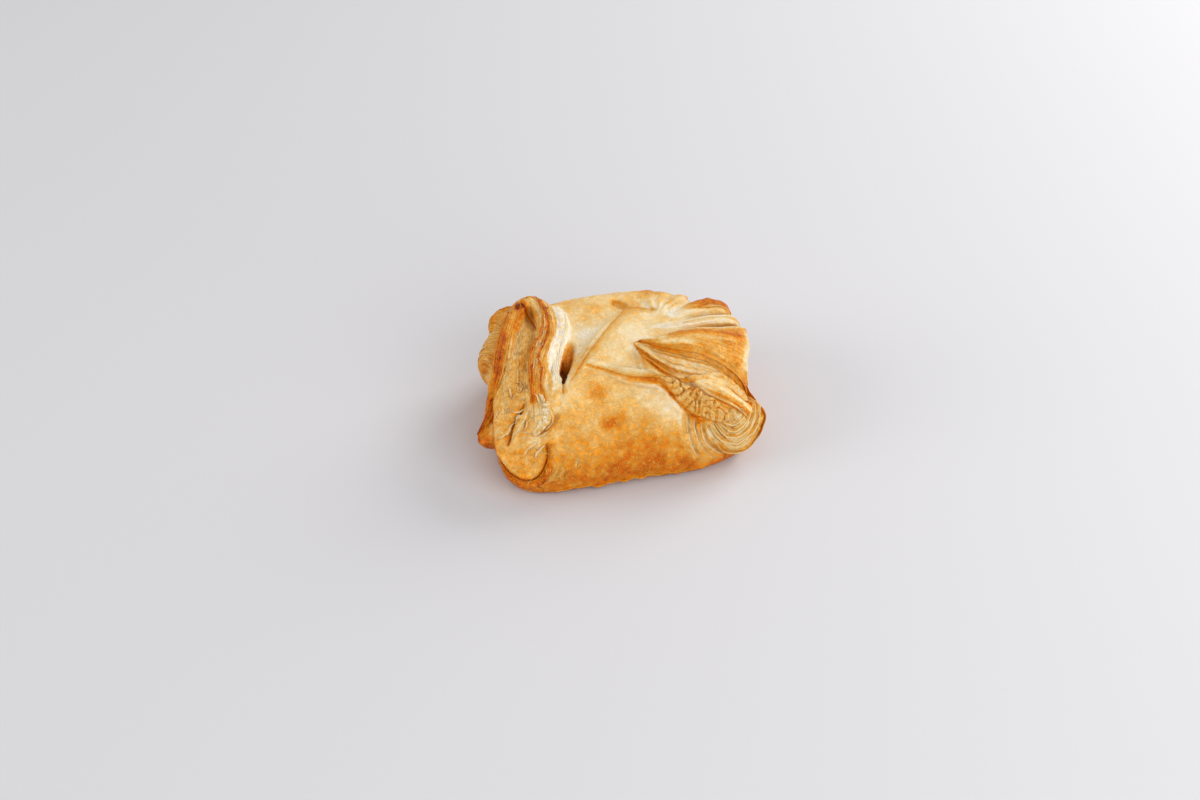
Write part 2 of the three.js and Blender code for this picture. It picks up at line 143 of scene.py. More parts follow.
BRAID = {
    "crest": [
        [5.8, -6, 34.6], [7, -12.8, 34.3], [10, -18.2, 33.2], [13.8, -23.6, 31], [17.4, -27.4, 28.6],
        [21.4, -30.6, 25.6], [26, -32.6, 22.4], [31.4, -33.8, 19], [37, -33, 17], [42, -30.2, 16.2],
        [46, -25.6, 17],
    ],
    "core": [26, -8, 4], "half": [0.9, 1.8, 2.4, 2.8, 3.2, 4.4, 6.8, 9, 10, 10.2, 10],
    "high": 2.2, "sunk": 6, "cap": 3,
}
PLEAT_BACK = {
    "crest": [
        [20, 14.5, 32.6], [27, 15.6, 34], [34.1, 17.6, 34.2], [40.8, 18.6, 33], [45.4, 17.4, 29.4],
        [44, 15, 18],
    ],
    "core": [30, 10, 0], "half": [1.5, 3.4, 4.4, 5, 4.6, 2], "high": 2, "sunk": 11, "cap": 3,
}
PLEAT_FRONT = {
    "crest": [
        [13, 9, 33], [22.7, 7.6, 34.2], [30.6, 7.9, 34.4], [38.7, 8.6, 33.6], [45.2, 9.6, 31],
        [47.4, 10.4, 25.6], [44, 10, 14],
    ],
    "core": [30, 10, 0], "half": [0.8, 2, 2.4, 2.6, 2.8, 1.6], "high": 1.4, "sunk": 11, "cap": 3,
}
TOP_CORE = [0, 0, -40]
GATHER_CORE = [20, 14, 0]


def ripple(core, half, crest):
    """A low fold, which stands a quarter as high as it is wide."""
    return {"crest": crest, "core": core, "half": half, "high": 0.5, "sunk": 1.5, "cap": 3, "by_half": True}


FOLD_LINE = ripple(TOP_CORE, [0.8, 1.4, 1.5, 1.3, 0.8], [
    [17.7, 16.4, 33.8], [10, 20.3, 33.6], [4.9, 18.8, 34], [-1, 13.3, 34.3], [-6.2, 7.6, 34.2],
    [-10.4, 2.6, 33.8], [-15, -5.5, 33],
])
CREASE = ripple(TOP_CORE, [0.6, 1.4, 2, 2.4, 2], [
    [-7, -10.6, 32.8], [-1, -14.5, 32.8], [6, -16.8, 32.7], [11.5, -19, 31.9], [16.5, -23.4, 29.6],
])
BACK_RIPPLE = ripple(GATHER_CORE, [0.8, 2, 2.6, 2, 0.6], [
    [19, 17, 33.5], [18.4, 23, 33.4], [18, 30, 32.4], [17.8, 36, 29], [17.4, 40, 20],
])
SIDE_RIPPLE = ripple(GATHER_CORE, [0.8, 1.8, 2.4, 1.8, 0.6], [
    [22.5, 16, 33.7], [26, 21.6, 33.2], [29, 27, 31.4], [32, 32, 27], [33, 35, 18],
])
SLIT = {
    "crest": [
        [-15.5, 9.8, 33.4], [-18.2, 2.4, 33], [-20.6, -3.6, 32.4], [-22.4, -8.6, 31.6], [-23.2, -12.6, 31],
    ],
    "core": [-19, 0, 0], "half": 1.9, "deep": 7,
}

STRIP_LINE = {  # the strip's edge above the slit
    "crest": [
        [-15.3, 30.5, 33.4], [-14.5, 18, 33.6], [-18.4, 8.5, 33.4], [-22.6, 0.4, 32.6], [-25.2, -11, 30.6],
        [-26.4, -19, 27.4],
    ],
    "core": [-20, 4, 0],
}

# ---- Numbers that run along and across ----


def through(values, s):
    """Uniform Catmull-Rom: the numbers or points that run smoothly through evenly spaced values as s goes
    0 to 1."""
    v = np.asarray(values, float)
    flat = v.ndim == 1
    v = v[:, None] if flat else v
    ends = np.vstack([2 * v[0] - v[1], v, 2 * v[-1] - v[-2]])
    at = np.clip(s, 0, 1) * (len(v) - 1)
    i = np.minimum(at.astype(int), len(v) - 2)
    f = (at - i)[..., None]
    a, b = ends[i + 1], ends[i + 2]
    m0, m1 = (b - ends[i]) / 2, (ends[i + 3] - a) / 2
    f2, f3 = f * f, f * f * f
    out = (2 * f3 - 3 * f2 + 1) * a + (f3 - 2 * f2 + f) * m0 + (3 * f2 - 2 * f3) * b + (f3 - f2) * m1
    return out[..., 0] if flat else out


def unit(v):
    """Vectors brought to length one."""
    return v / np.maximum(np.linalg.norm(v, axis=-1, keepdims=True), 1e-9)


def dot(a, b):
    """Scalar product along the last axis."""
    return (a * b).sum(-1)


def step(x, low, high):
    """Smooth step: 0 below low, 1 above high, 3t^2 - 2t^3 between."""
    t = np.clip((x - low) / (high - low), 0, 1)
    return t * t * (3 - 2 * t)


def within(x, low, high, soft):
    """1 between low and high, fading to 0 over soft outside them."""
    return step(x, low - soft, low) * (1 - step(x, high, high + soft))


def bump(x):
    """Bell curve exp(-x^2)."""
    return np.exp(-np.minimum(x * x, 60))


def power(x, p):
    """The size of x raised to p, with the sign of x kept."""
    return np.sign(x) * np.abs(x) ** p


def hashed(key):
    """Numbers from 0 to 1 that look random and follow from their keys alone."""
    value = np.sin(key) * SCATTER
    return value - np.floor(value)


def grain(p, size, seed):
    """Value noise from -1 to 1: numbers hashed at the corners of a lattice of that size, blended across
    each cell."""
    q = p / size + seed * SEED_SHIFT
    i = np.floor(q)
    f = q - i
    f = f * f * (3 - 2 * f)
    total = np.zeros(p.shape[:-1])
    for corner in np.ndindex(*(2,) * p.shape[-1]):
        c = np.array(corner)
        total += hashed(dot(i + c, HASH[: p.shape[-1]]) + seed) * np.prod(np.where(c, f, 1 - f), axis=-1)
    return 2 * total - 1


def clouds(p, size, seed, octaves=3):
    """Sum of value noise at halving sizes and halving strengths."""
    return sum(grain(p, size / 2**k, seed + k) / 2**k for k in range(octaves)) / (2 - 0.5 ** (octaves - 1))


def ridges(x):
    """Round ridges of height 1, with a sharp groove at each whole number."""
    return np.abs(np.sin(np.pi * x)) ** 0.6


def creased(p, size, seed):
    """Rounded lumps of height 1, parted by sharp creases where noise passes through 0."""
    return np.minimum(3.2 * np.abs(clouds(p, size, seed, 2)), 1) ** 0.7


def domes(p, size, seed):
    """Blisters: in each cell of a lattice one dome, its place and width hashed, 1 at its top and 0 beside
    it."""
    q = p / size
    cell = np.floor(q)
    best = np.zeros(len(p))
    for offset in np.ndindex(3, 3, 3):
        c = cell + np.array(offset) - 1
        h = hashed(dot(c, HASH)[:, None] + seed + np.array([0, 3.7, 9.2, 5.5]))
        best = np.maximum(best, 1 - np.linalg.norm(q - c - h[:, :3], axis=-1) / (0.3 + 0.35 * h[:, 3]))
    return step(best, 0, 0.8)


# ---- Closed skins ----


def whole_turn(sides):
    """The angles of a whole turn in even steps."""
    return TAU * np.arange(sides) / sides


def eased(steps):
    """A column of shares from 0 to 1, (1 - cos(pi i / steps)) / 2, which lie close together at both ends."""
    return ((1 - np.cos(np.pi * np.arange(steps + 1) / steps)) / 2)[:, None]


def run_out(s):
    """1 along the middle and 0 at both ends: sqrt(1 - |2s - 1|^3)."""
    return np.sqrt(np.maximum(1 - np.abs(2 * s - 1) ** 3, 0))


def ringed(rows):
    """Rows of points, or of numbers at them, in a skin's order. The first and the last row count as one
    point each."""
    return np.concatenate([rows[0, :1], rows[1:-1].reshape(-1, rows.shape[-1]), rows[-1, :1]])


def grid_skin(rings):
    """A closed skin of rings: rows of points whose first and last rows each shrink to one point, as quads
    and caps."""
    steps, sides = rings.shape[0] - 1, rings.shape[1]
    points = ringed(rings)
    points[:, 2] = np.maximum(points[:, 2], LOWEST)
    i, j = np.meshgrid(np.arange(steps - 2), np.arange(sides), indexing="ij")
    k = (j + 1) % sides
    a, b = 1 + i * sides, 1 + (i + 1) * sides
    quads = np.stack([a + j, a + k, b + k, b + j], -1).reshape(-1, 4)
    j, k = np.arange(sides), (np.arange(sides) + 1) % sides
    last = len(points) - 1
    start = last - sides
    first_cap = np.stack([np.zeros_like(j), 1 + k, 1 + j], -1)
    last_cap = np.stack([np.full_like(j, last), start + j, start + k], -1)
    return points, quads, np.vstack([first_cap, last_cap])


def joined(skins):
    """Closed skins put into one, each still a skin of its own."""
    starts = np.cumsum([0] + [len(points) for points, _, _ in skins[:-1]])
    return (
        np.vstack([points for points, _, _ in skins]),
        np.vstack([quads + start for (_, quads, _), start in zip(skins, starts)]),
        np.vstack([tips + start for (_, _, tips), start in zip(skins, starts)]),
    )


def outwards(points, quads, tips):
    """A closed skin with its faces turned outwards: turned round where the volume they enclose comes out
    negative."""
    a, b, c, d = (points[quads[:, k]] for k in range(4))
    volume = dot(a, np.cross(b, c)).sum() + dot(a, np.cross(c, d)).sum()
    return (points, quads[:, ::-1], tips[:, ::-1]) if volume < 0 else (points, quads, tips)


def frame_at(crest, core, s):
    """The place on a crest's line, the direction away from the core square to the line, and the one across
    both."""
    at = through(crest, s)
    ahead = unit(through(crest, np.clip(s + 1e-4, 0, 1)) - through(crest, np.clip(s - 1e-4, 0, 1)))
    out = at - np.asarray(core, float)
    out = unit(out - dot(out, ahead)[..., None] * ahead)
    return at, np.cross(ahead, out), out


def fold_skin(fold, steps=160, sides=72):
    """A roll carried along its crest: c = cos(turn) across it, its upper side rising by sin(turn)^0.8,
    ends capped by the superellipse of |2s - 1|."""
    s, turn = eased(steps), whole_turn(sides)
    half = through(fold["half"], s)
    scale = half if fold.get("by_half") else 1
    high, sunk = fold["high"] * scale, fold["sunk"] * scale
    c, n = np.cos(turn)[None], np.sin(turn)[None]
    out = high * np.maximum(n, 0) ** ROLL_TOP - sunk * np.maximum(-n, 0) ** ROLL_TOP - high
    cap = np.maximum(1 - np.abs(2 * s - 1) ** fold["cap"], 0) ** (1 / fold["cap"])
    at, across, away = frame_at(fold["crest"], fold["core"], s)
    place = at + across * (half * power(c, ROLL_SIDE) * cap)[..., None] + away * (out * cap)[..., None]
    return grid_skin(place)


def sheet_skin(near, far, core, thick, crown, relief=None, steps=150, sides=120):
    """A sheet between two lines, t = (1 - cos turn) / 2 from near to far, raised by 4t(1-t) times its
    crown, its two faces parted by its thickness times sqrt(4t(1-t))."""
    s, turn = eased(steps), (np.arange(sides) / sides)[None]
    t = 0.5 - 0.5 * np.cos(TAU * turn)
    p = through(near, s) * (1 - t)[..., None] + through(far, s) * t[..., None]
    out = unit(p - np.asarray(core, float))
    hump = 4 * t * (1 - t)
    lift = through(crown, s) * hump
    edge = np.sqrt(hump)
    half = through(thick, s) / 2
    top = lift + (relief(s, t) if relief else 0)
    place = p + out * np.where(turn < 0.5, top - (1 - edge) * half, lift - (1 + edge) * half)[..., None]
    return grid_skin(place)


# ---- The parcel's own shapes ----


def nearest(p, line):
    """How far points are from a line of short straight pieces, the side they lie on in plan, 1 for its
    left and -1 for its right, and the share along the line of the nearest place."""
    best, side, share = np.full(p.shape[:-1], 1e9), np.zeros(p.shape[:-1]), np.zeros(p.shape[:-1])
    for i, (a, b) in enumerate(zip(line[:-1], line[1:])):
        d = b - a
        t = np.clip(dot(p - a, d) / dot(d, d), 0, 1)
        e = p - a - t[..., None] * d
        gap = np.linalg.norm(e, axis=-1)
        near = gap < best
        best = np.where(near, gap, best)
        side = np.where(near, np.where(d[0] * e[..., 1] - d[1] * e[..., 0] < 0, -1, 1), side)
        share = np.where(near, (i + t) / (len(line) - 1), share)
    return best, side, share


def beside_line(p, line, samples=40):
    """Signed distance in plan from a line, positive on its left, and the share along it of the nearest
    point."""
    points = through([[x, y, 0] for x, y in line], np.linspace(0, 1, samples + 1))[:, :2]
    gap, side, share = nearest(p[..., :2], points)
    return gap * side, share


def top_relief(p):
    """The top of the parcel: the sheet that laps over along the diagonal with a groove before its edge,
    and the valley beside the strip."""
    d, s = beside_line(p, DIAGONAL)
    ends, soft = step(s, 0, 0.15) * (1 - step(s, 0.85, 1)), LAP["soft"]
    slope = LAP["high"] * step(d, -soft, soft) * np.exp(-np.maximum(d, 0) / LAP["fades"])
    groove = LAP["groove"] * bump((d + 2 * soft) / LAP["groove_half"])
    z = ends * (np.where(d > -soft, slope, 0) - groove)
    d, s = beside_line(p, VALLEY)
    return z - VALLEY_DEEP * bump(d / VALLEY_HALF) * step(s, 0.05, 0.3) * (1 - step(s, 0.8, 1))


def slit_pit(p):
    """The slit: a pit whose depth falls from its middle to nothing at its walls, narrow at both ends and
    shallow at its back one."""
    d, s = beside_line(p, [c[:2] for c in SLIT["crest"]])
    half = SLIT["half"] * np.sqrt(np.maximum(4 * s * (1 - s), 1e-6))
    steep = (4 * s * (1 - s)) ** 0.3 * (0.4 + 0.6 * step(s, 0.2, 0.48))
    return SLIT["deep"] * (1 - step(np.abs(d) / half, 0.62, 1.12)) * steep


def parcel_skin(around=720, rings=170):
    """The parcel: a superellipse in plan that rises as sqrt(1 - reach^shoulder), its base closed flat."""
    turn = whole_turn(around)[None]
    c, n = np.cos(turn), np.sin(turn)
    ends, sides = np.abs(c) ** SQUARENESS, np.abs(n) ** SQUARENESS
    shape = (ends + sides) ** (1 / SQUARENESS)
    end = np.where(c < 0, SHOULDERS["left"], SHOULDERS["right"])
    side = np.where(n < 0, SHOULDERS["front"], SHOULDERS["back"])
    shoulder = (end * ends + side * sides) / (ends + sides)

    def spot(reach):
        """The place in plan, how high the dome stands there as a share, and the height of the top above
        it."""
        across, along = reach * c / shape, reach * n / shape
        x0, x1 = through(WALLS["left"], (along + 1) / 2), through(WALLS["right"], (along + 1) / 2)
        y0, y1 = through(WALLS["front"], (across + 1) / 2), through(WALLS["back"], (across + 1) / 2)
        x, y = (x0 + x1 + (x1 - x0) * across) / 2, (y0 + y1 + (y1 - y0) * along) / 2
        return x, y, np.sqrt(np.maximum(1 - reach**shoulder, 0)), through(CROWN, (across + 1) / 2)

    reach = np.sin(np.pi * np.arange(rings + 1) / rings / 2)[:, None]
    x, y, dome, top = spot(reach)
    middle = np.array([x[0, 0], y[0, 0]])
    plan = np.stack([x, y], -1) - middle
    grow = 1 + SWELL * np.sin(np.pi * np.minimum(dome * 1.3, 1)) / np.maximum(
        np.linalg.norm(plan, axis=-1), SWELL_FROM,
    )
    plan = middle + plan * grow[..., None]
    lift = dome * (top_relief(plan) - slit_pit(plan))
    skin = np.dstack([plan, FOOT_ROUND + (top - FOOT_ROUND) * dome + lift])
    share = np.array([1 - (1 - FLAT_SHARE) / 2, FLAT_SHARE, 0])[:, None]
    foot = np.array([FOOT_ROUND / 4, 0, 0])[:, None]
    base = np.dstack([
        middle[0] + (x[-1:] - middle[0]) * share,
        middle[1] + (y[-1:] - middle[1]) * share,
        np.repeat(foot, around, axis=1),
    ])
    points, quads, tips = grid_skin(np.concatenate([skin, base]) + [0, 0, LOWEST])
    return points - [0, 0, LOWEST], quads, tips


def strip_skin():
    """The strip beside the rim, where the sheet underneath looks out."""
    near = [
        [-21, 29, 34], [-20.5, 18, 34.4], [-24, 6, 34.2], [-27.2, -1, 33.4], [-29.8, -10, 31.4],
        [-30.5, -19, 27],
    ]
    return sheet_skin(near, STRIP_LINE["crest"], [-20, 4, 0], [3.5, 3.5], [0.3, 0.3])


def flap_skin():
    """The right end's flap, with low flutes that run along it and a groove behind its cut edge."""
    def relief(s, t):
        """Flutes cos(11 pi t) along the flap, and the groove."""
        flutes = 0.22 * np.sin(np.pi * t) * np.cos(11 * np.pi * t) * step(s, 0.05, 0.2)
        return flutes - 0.5 * bump((t - 0.14) / 0.08)

    crown = [0, 0.9, 1.4, 1.5, 0.7, -1.4, -1.5]
    return sheet_skin(FLAP_EDGE, CUT_EDGE, [26, -4, 0], [1, 3, 5, 7, 7, 4], crown, relief)


def cut_face_skin(terraces=4):
    """The cut face below the flap: terraces of dough layers and a crisp lower lip."""
    def relief(s, t):
        """Terraces cos(2 pi terraces t) that fade towards both edges, and the lip."""
        return 0.55 * np.sin(np.pi * t) * np.cos(TAU * terraces * t) + 0.9 * bump((t - 0.93) / 0.07)

    near = np.array(CUT_EDGE) + [-0.4, 1.4, -1]
    return sheet_skin(near, CUT_FOOT, [24, -2, 0], [0.8, 3, 5, 5, 5, 4], [0, 0], relief)


def leaf_skin():
    """The smooth leaf of dough that slips out from under the flap."""
    return sheet_skin(LEAF_NEAR, LEAF_FAR, [28, -8, 4], [4, 4], [1.1, 1.1])


# ---- Welding the folds into one crust ----


def mesh_from(name, points, quads, tips):
    """A mesh of quads and triangles from arrays, in metres in the part's frame."""
    mesh = bpy.data.meshes.new(name)
    corners = np.concatenate([quads.ravel(), tips.ravel()]).astype(np.int32)
    sizes = np.concatenate([np.full(len(quads), 4), np.full(len(tips), 3)]).astype(np.int32)
    starts = np.concatenate([[0], np.cumsum(sizes)[:-1]]).astype(np.int32)
    mesh.vertices.add(len(points))
    mesh.loops.add(len(corners))
    mesh.polygons.add(len(sizes))
    mesh.vertices.foreach_set("co", ((points - DRAWN_CENTRE) * MM).astype(np.float32).ravel())
    mesh.loops.foreach_set("vertex_index", corners)
    mesh.polygons.foreach_set("loop_start", starts)
    mesh.polygons.foreach_set("loop_total", sizes)
    mesh.update(calc_edges=True)
    mesh.validate()
    return mesh


def read(items, name, width, kind=np.int32):
    """One property of every item of a mesh, as rows of that many numbers."""
    values = np.empty(len(items) * width, kind)
    items.foreach_get(name, values)
    return values.reshape(-1, width)


def points_of(mesh):
    """A mesh's points in the drawing's millimetres."""
    return read(mesh.vertices, "co", 3, np.float32).astype(float) / MM + DRAWN_CENTRE


def faces_of(mesh):
    """The corners of each quad and of each triangle."""
    corners, sizes = read(mesh.loops, "vertex_index", 1)[:, 0], read(mesh.polygons, "loop_total", 1)[:, 0]
    starts = np.concatenate([[0], np.cumsum(sizes)[:-1]])
    return tuple(corners[starts[sizes == count][:, None] + np.arange(count)] for count in (4, 3))


def spread(points, edges):
    """The average of each point's neighbours."""
    a, b = edges.T
    count = len(points)
    total = np.stack([np.bincount(a, v[b], count) + np.bincount(b, v[a], count) for v in points.T], -1)
    return total / np.maximum(np.bincount(edges.ravel(), minlength=count), 1)[:, None]


def relax(points, edges, rounds):
    """Points drawn half the way towards their neighbours' average in each round."""
    for _ in range(rounds):
        points = points + 0.5 * (spread(points, edges) - points)
    return points


def normals_of(points, quads):
    """Each point's outward normal: the sum of the cross products of its quads' diagonals."""
    p = points[quads]
    n = np.cross(p[:, 2] - p[:, 0], p[:, 3] - p[:, 1])
    total = np.stack([np.bincount(quads.ravel(), np.repeat(n[:, k], 4), len(points)) for k in range(3)], -1)
    return unit(total)


def weld(skins, cell):
    """Closed skins that overlap are made one closed skin of even quads, a cell apart."""
    mesh = mesh_from("dough", *joined(skins))
    dough = bpy.data.objects.new("dough", mesh)
    bpy.context.scene.collection.objects.link(dough)
    join = dough.modifiers.new("weld", "REMESH")
    join.mode = "VOXEL"
    join.voxel_size = cell * MM
    welded = dough.evaluated_get(bpy.context.evaluated_depsgraph_get()).to_mesh()
    found = points_of(welded), read(welded.edges, "vertices", 2), *faces_of(welded)
    bpy.data.objects.remove(dough)
    bpy.data.meshes.remove(mesh)
    return found


# ---- Where each fold lies on the crust ----


def along(points, fold, reach=14, samples=60):
    """The share along a fold's crest of the nearest point, and how far across and out from the crest each
    point lies. Points beyond reach of the crest, or past its ends, lie far out."""
    line = through(fold["crest"], np.linspace(0, 1, samples + 1))
    low, high = line.min(0) - reach, line.max(0) + reach
    near = np.flatnonzero(((points > low) & (points < high)).all(-1))
    p = points[near]
    share = nearest(p, line)[2]
    at, across, out = frame_at(fold["crest"], fold["core"], share)
    s, a, o = np.zeros(len(points)), np.full(len(points), FAR), np.full(len(points), FAR)
    beside = (share > 0) & (share < 1)
    s[near] = share
    a[near] = np.where(beside, dot(p - at, across), FAR)
    o[near] = np.where(beside, dot(p - at, out), FAR)
    return s, a, o


def place_on(p, near, far, s, rounds=6, h=0.01, pace=0.7):
    """Where points lie on the sheet ruled between two lines: t is the place of the point's foot on the
    ruling line at s, and each round moves s by a share, pace, of what is left over along the sheet."""
    for _ in range(rounds):
        a, b = through(near, s), through(far, s)
        t = np.clip(dot(p - a, b - a) / np.maximum(dot(b - a, b - a), 0.25), 0, 1)[:, None]
        near_step, far_step = (through(line, s + h) - through(line, s - h) for line in (near, far))
        ahead = near_step * (1 - t) + far_step * t
        rest = p - a * (1 - t) - b * t
        s = np.clip(s + pace * 2 * h * dot(rest, ahead) / np.maximum(dot(ahead, ahead), 1e-6), 0, 1)
    return s, t[:, 0]


class Crust:
    """The welded skin: how baked it is, from 0, raw, to 1, burnt, and in some grooves, in the slit and
    under overhanging edges darker still as painted shade, how far it's to be raised, the coordinate
    of the layers that show in it and how strongly they show, and how much of it a fold has claimed already."""

    def __init__(self, points, edges, quads, tips, rounds):
        self.edges, self.quads, self.tips = edges, quads, tips
        self.points = relax(points, edges, rounds)
        self.points[:, 2] = np.maximum(self.points[:, 2], 0)
        self.normals = normals_of(self.points, quads)
        self.wobble, self.fleck = clouds(self.points, 5, 7), clouds(self.points, 2.2, 9)
        self.baked, self.height, self.layer, self.leafy, self.claimed = np.zeros((5, len(points)))

    def tint(self, value, weight):
        """Draws how baked the crust is towards a value."""
        self.baked += (value - self.baked) * np.clip(weight, 0, 1)

    def lift(self, height):
        """Adds to the relief."""
        self.height += height

    def show_layers(self, coordinate, weight):
        """Lets the layers' lines follow a coordinate where they show more strongly than others."""
        self.layer = np.where(weight > self.leafy, coordinate, self.layer)
        self.leafy = np.maximum(self.leafy, weight)

    def claim(self, weight):
        """Keeps a place for a fold, so that those worked after it leave it alone."""
        self.claimed = np.maximum(self.claimed, weight)

    def cover(self, fold, reach=9, soft=0.22, deep=5, above=1.6):
        """The share along a fold, how far across it each point is in half widths and in millimetres, and
        how surely the point is on that fold and on none before it."""
        s, a, o = along(self.points, fold, reach)
        c = a / through(fold["half"], s)
        on = (1 - step(np.abs(c), 1 - soft, 1 + soft)) * within(o, -deep, above, 1)
        return s, c, a, on * (1 - self.claimed)

    def sheet(self, near, far, core, deep=5, above=4):
        """The share along a sheet's far line, how far each point is from there to the near one, and how
        surely it is on the sheet and on nothing before it."""
        s, a, o = along(self.points, {"crest": far, "core": core}, 26)
        t = -a / np.maximum(np.linalg.norm(through(near, s) - through(far, s), axis=-1), 0.5)
        return s, t, within(t, -0.03, 1.03, 0.06) * within(o, -deep, above, 1) * (1 - self.claimed)

    def line(self, fold, reach=9, deep=4):
        """The share along a line, millimetres across it, and 1 near the line, fading to 0 at its ends."""
        s, a, o = along(self.points, fold, reach)
        return s, a, (np.abs(o) < deep) * within(s, 0.04, 0.96, 0.04)

    def finish(self):
        """Raises the relief along the normals, keeping the base flat, and browns what stands proud."""
        foot = step(self.points[:, 2], 0.3, 1.5)
        self.points = self.points + self.normals * (self.height * foot)[:, None]
        self.points[:, 2] = np.maximum(self.points[:, 2], 0)
        proud = dot(self.points - relax(self.points, self.edges, 8), self.normals)
        browner = np.clip(PROUD_BAKES * proud, HOLLOW_MOST, PROUD_MOST)
        self.baked = np.clip(self.baked + browner + 0.04 * self.fleck, 0, 1)


def fold_dough(cell, rounds):
    """All the folds welded into one crust, and smoothed into each other."""
    folds = [
        RIM, HOLLOW, POINT, EAR_LOW, EAR_HIGH, BRAID, PLEAT_BACK, PLEAT_FRONT, FOLD_LINE, CREASE, BACK_RIPPLE,
        SIDE_RIPPLE,
    ]
    skins = [parcel_skin(), strip_skin(), flap_skin(), cut_face_skin(), leaf_skin()]
    skins += [fold_skin(fold) for fold in folds]
    return Crust(*weld(skins, cell), rounds)


# ---- What each fold looks like ----

# Lines on the crust that carry a groove, a raised edge or a stripe of colour.
OVAL_GROOVE = {
    "crest": [
        [-47.2, -9, 26.5], [-49.4, -15, 21.5], [-50.3, -22, 18], [-50, -28.6, 14.8], [-47.8, -33.2, 11.5],
        [-44.8, -36, 9.2], [-41.4, -37.3, 8.6], [-38, -37.8, 10], [-35, -37, 14], [-33.6, -35.4, 18],
        [-33.6, -32.6, 22],
    ],
    "core": [-41, -20, 10],
}
CREVICES = [
    [[-37.6, -30.4, 23], [-34.9, -30.2, 24.3], [-31.1, -29, 25.4], [-28.6, -26, 28]],
    [
        [-38.6, -19.4, 29.2], [-41.3, -22.7, 27.2], [-44.5, -25.8, 24.2], [-45.9, -28.2, 21.6],
        [-47, -29.6, 19.6],
    ],
]
WALL_PLEATS = [
    [[18, -30.7, 23.6], [17.2, -32.2, 20.7], [17.2, -34.7, 17.1], [18.4, -36.5, 12.5], [20.1, -36.9, 8.2]],
    [[19.9, -32.2, 22.4], [19.7, -33.7, 18.6], [20.7, -35.8, 14.3], [22.5, -36.5, 10.2]],
    [[21.9, -33.2, 21.4], [22.3, -34.7, 17.6], [23.7, -35.8, 13.1], [27.4, -35.6, 8.6], [30.7, -34.3, 5.5]],
]
RIM_EDGE = {
    "crest": [
        [43.8, -17.2, 21.5], [47, -20, 21], [48.6, -24, 19], [47.4, -28.4, 14.6], [43.6, -32, 10.6],
        [38, -34.6, 8.2], [32.4, -35.8, 8], [27.6, -37, 12.4], [24.4, -35.4, 17.4], [23, -33.6, 20.6],
    ],
    "core": [34, -22, 12],
}
EYE = {"crest": [[3, 27.4, 32.6], [5.4, 26, 32.2], [7.6, 23.8, 32.2], [10.4, 21.4, 33.4]], "core": TOP_CORE}
SLIT_TAIL = {"crest": [[-23, -11.5, 31.6], [-23.9, -15, 31.6], [-24.9, -19.8, 31.4]], "core": [-19, 0, 0]}
CREASE_LIP = {
    "crest": [
        [-14.5, -6.6, 33], [-10.9, -9, 33.1], [-6.7, -11.5, 32.7], [-3.2, -14.2, 32.4], [0.4, -16.2, 32.2],
        [5.1, -17.8, 32.2], [9.7, -19.3, 32.2], [12.6, -21.6, 31.8], [14.8, -24, 30.9],
    ],
    "core": TOP_CORE,
}
DIAGONAL_LIP = {
    "crest": [
        [18.6, 18.4, 33.5], [14.1, 19.4, 33.5], [9.1, 19, 34], [5.7, 17.8, 34.3], [2.1, 14.1, 34.3],
        [-3, 8.3, 34.3], [-7.9, 1.8, 34.3], [-12.7, -3.8, 33.5], [-16.9, -9.3, 32.6], [-21.1, -15.3, 32.2],
    ],
    "core": TOP_CORE,
}
STRIP_LEFT = [
    [-19.4, 29, 33.7], [-18.7, 22.4, 34.2], [-19.4, 16.2, 34.2], [-21.9, 9.1, 34.5], [-25, 2.2, 34],
    [-26.9, -3.5, 33.2], [-26.8, -9.8, 32.4], [-28, -16.7, 32], [-29.2, -21, 31.2], [-29.6, -24.5, 29.6],
]
STRIP_RIGHT = [
    [-17.2, 29.4, 33.6], [-15.4, 24.7, 33.2], [-15.6, 18.2, 33.5], [-17.5, 11.8, 33.2], [-19.4, 6.6, 32.8],
    [-21.4, 0.8, 32.2], [-23.2, -5.4, 31.9], [-24.2, -13.2, 31.9], [-25.6, -18.8, 31.9],
    [-27.6, -24.6, 29.8],
]
LIMB_LEFT = {  # the inner limb's two brown ridges
    "crest": [
        [-25.6, 33.3, 35.3], [-23.6, 29.8, 35.6], [-23.4, 22.3, 35.7], [-24.8, 14.6, 35.7],
        [-27.5, 8.4, 35.5], [-31.3, 2.8, 34.5], [-33.5, -4.2, 34.2], [-34.8, -11.2, 33.4],
        [-35.6, -17.3, 31.7], [-36.8, -21.5, 29.4],
    ],
    "core": [-33, 4, -12],
}
LIMB_RIGHT = {
    "crest": [
        [-21.5, 27, 35.2], [-21.3, 19.6, 35.4], [-22.8, 11, 35.4], [-25.5, 4.6, 35.4], [-29.1, -2, 35],
        [-29.2, -7.9, 33.7], [-30.8, -13.6, 32.7], [-30.6, -19.8, 31.4], [-30.1, -22.2, 30.7],
    ],
    "core": [-33, 4, -12],
}
HOOK = {
    "crest": [
        [-32.4, 26.5, 34.6], [-30.4, 30.6, 35], [-29.1, 28.8, 35.1], [-28.5, 26.4, 33.4],
        [-27.7, 22.4, 31.8], [-27.1, 16.7, 32.5],
    ],
    "core": [-30, 2, 0],
}
CURL_EYE = np.array([32.5, -29.5, 22])  # the point the curl's layers are wound round
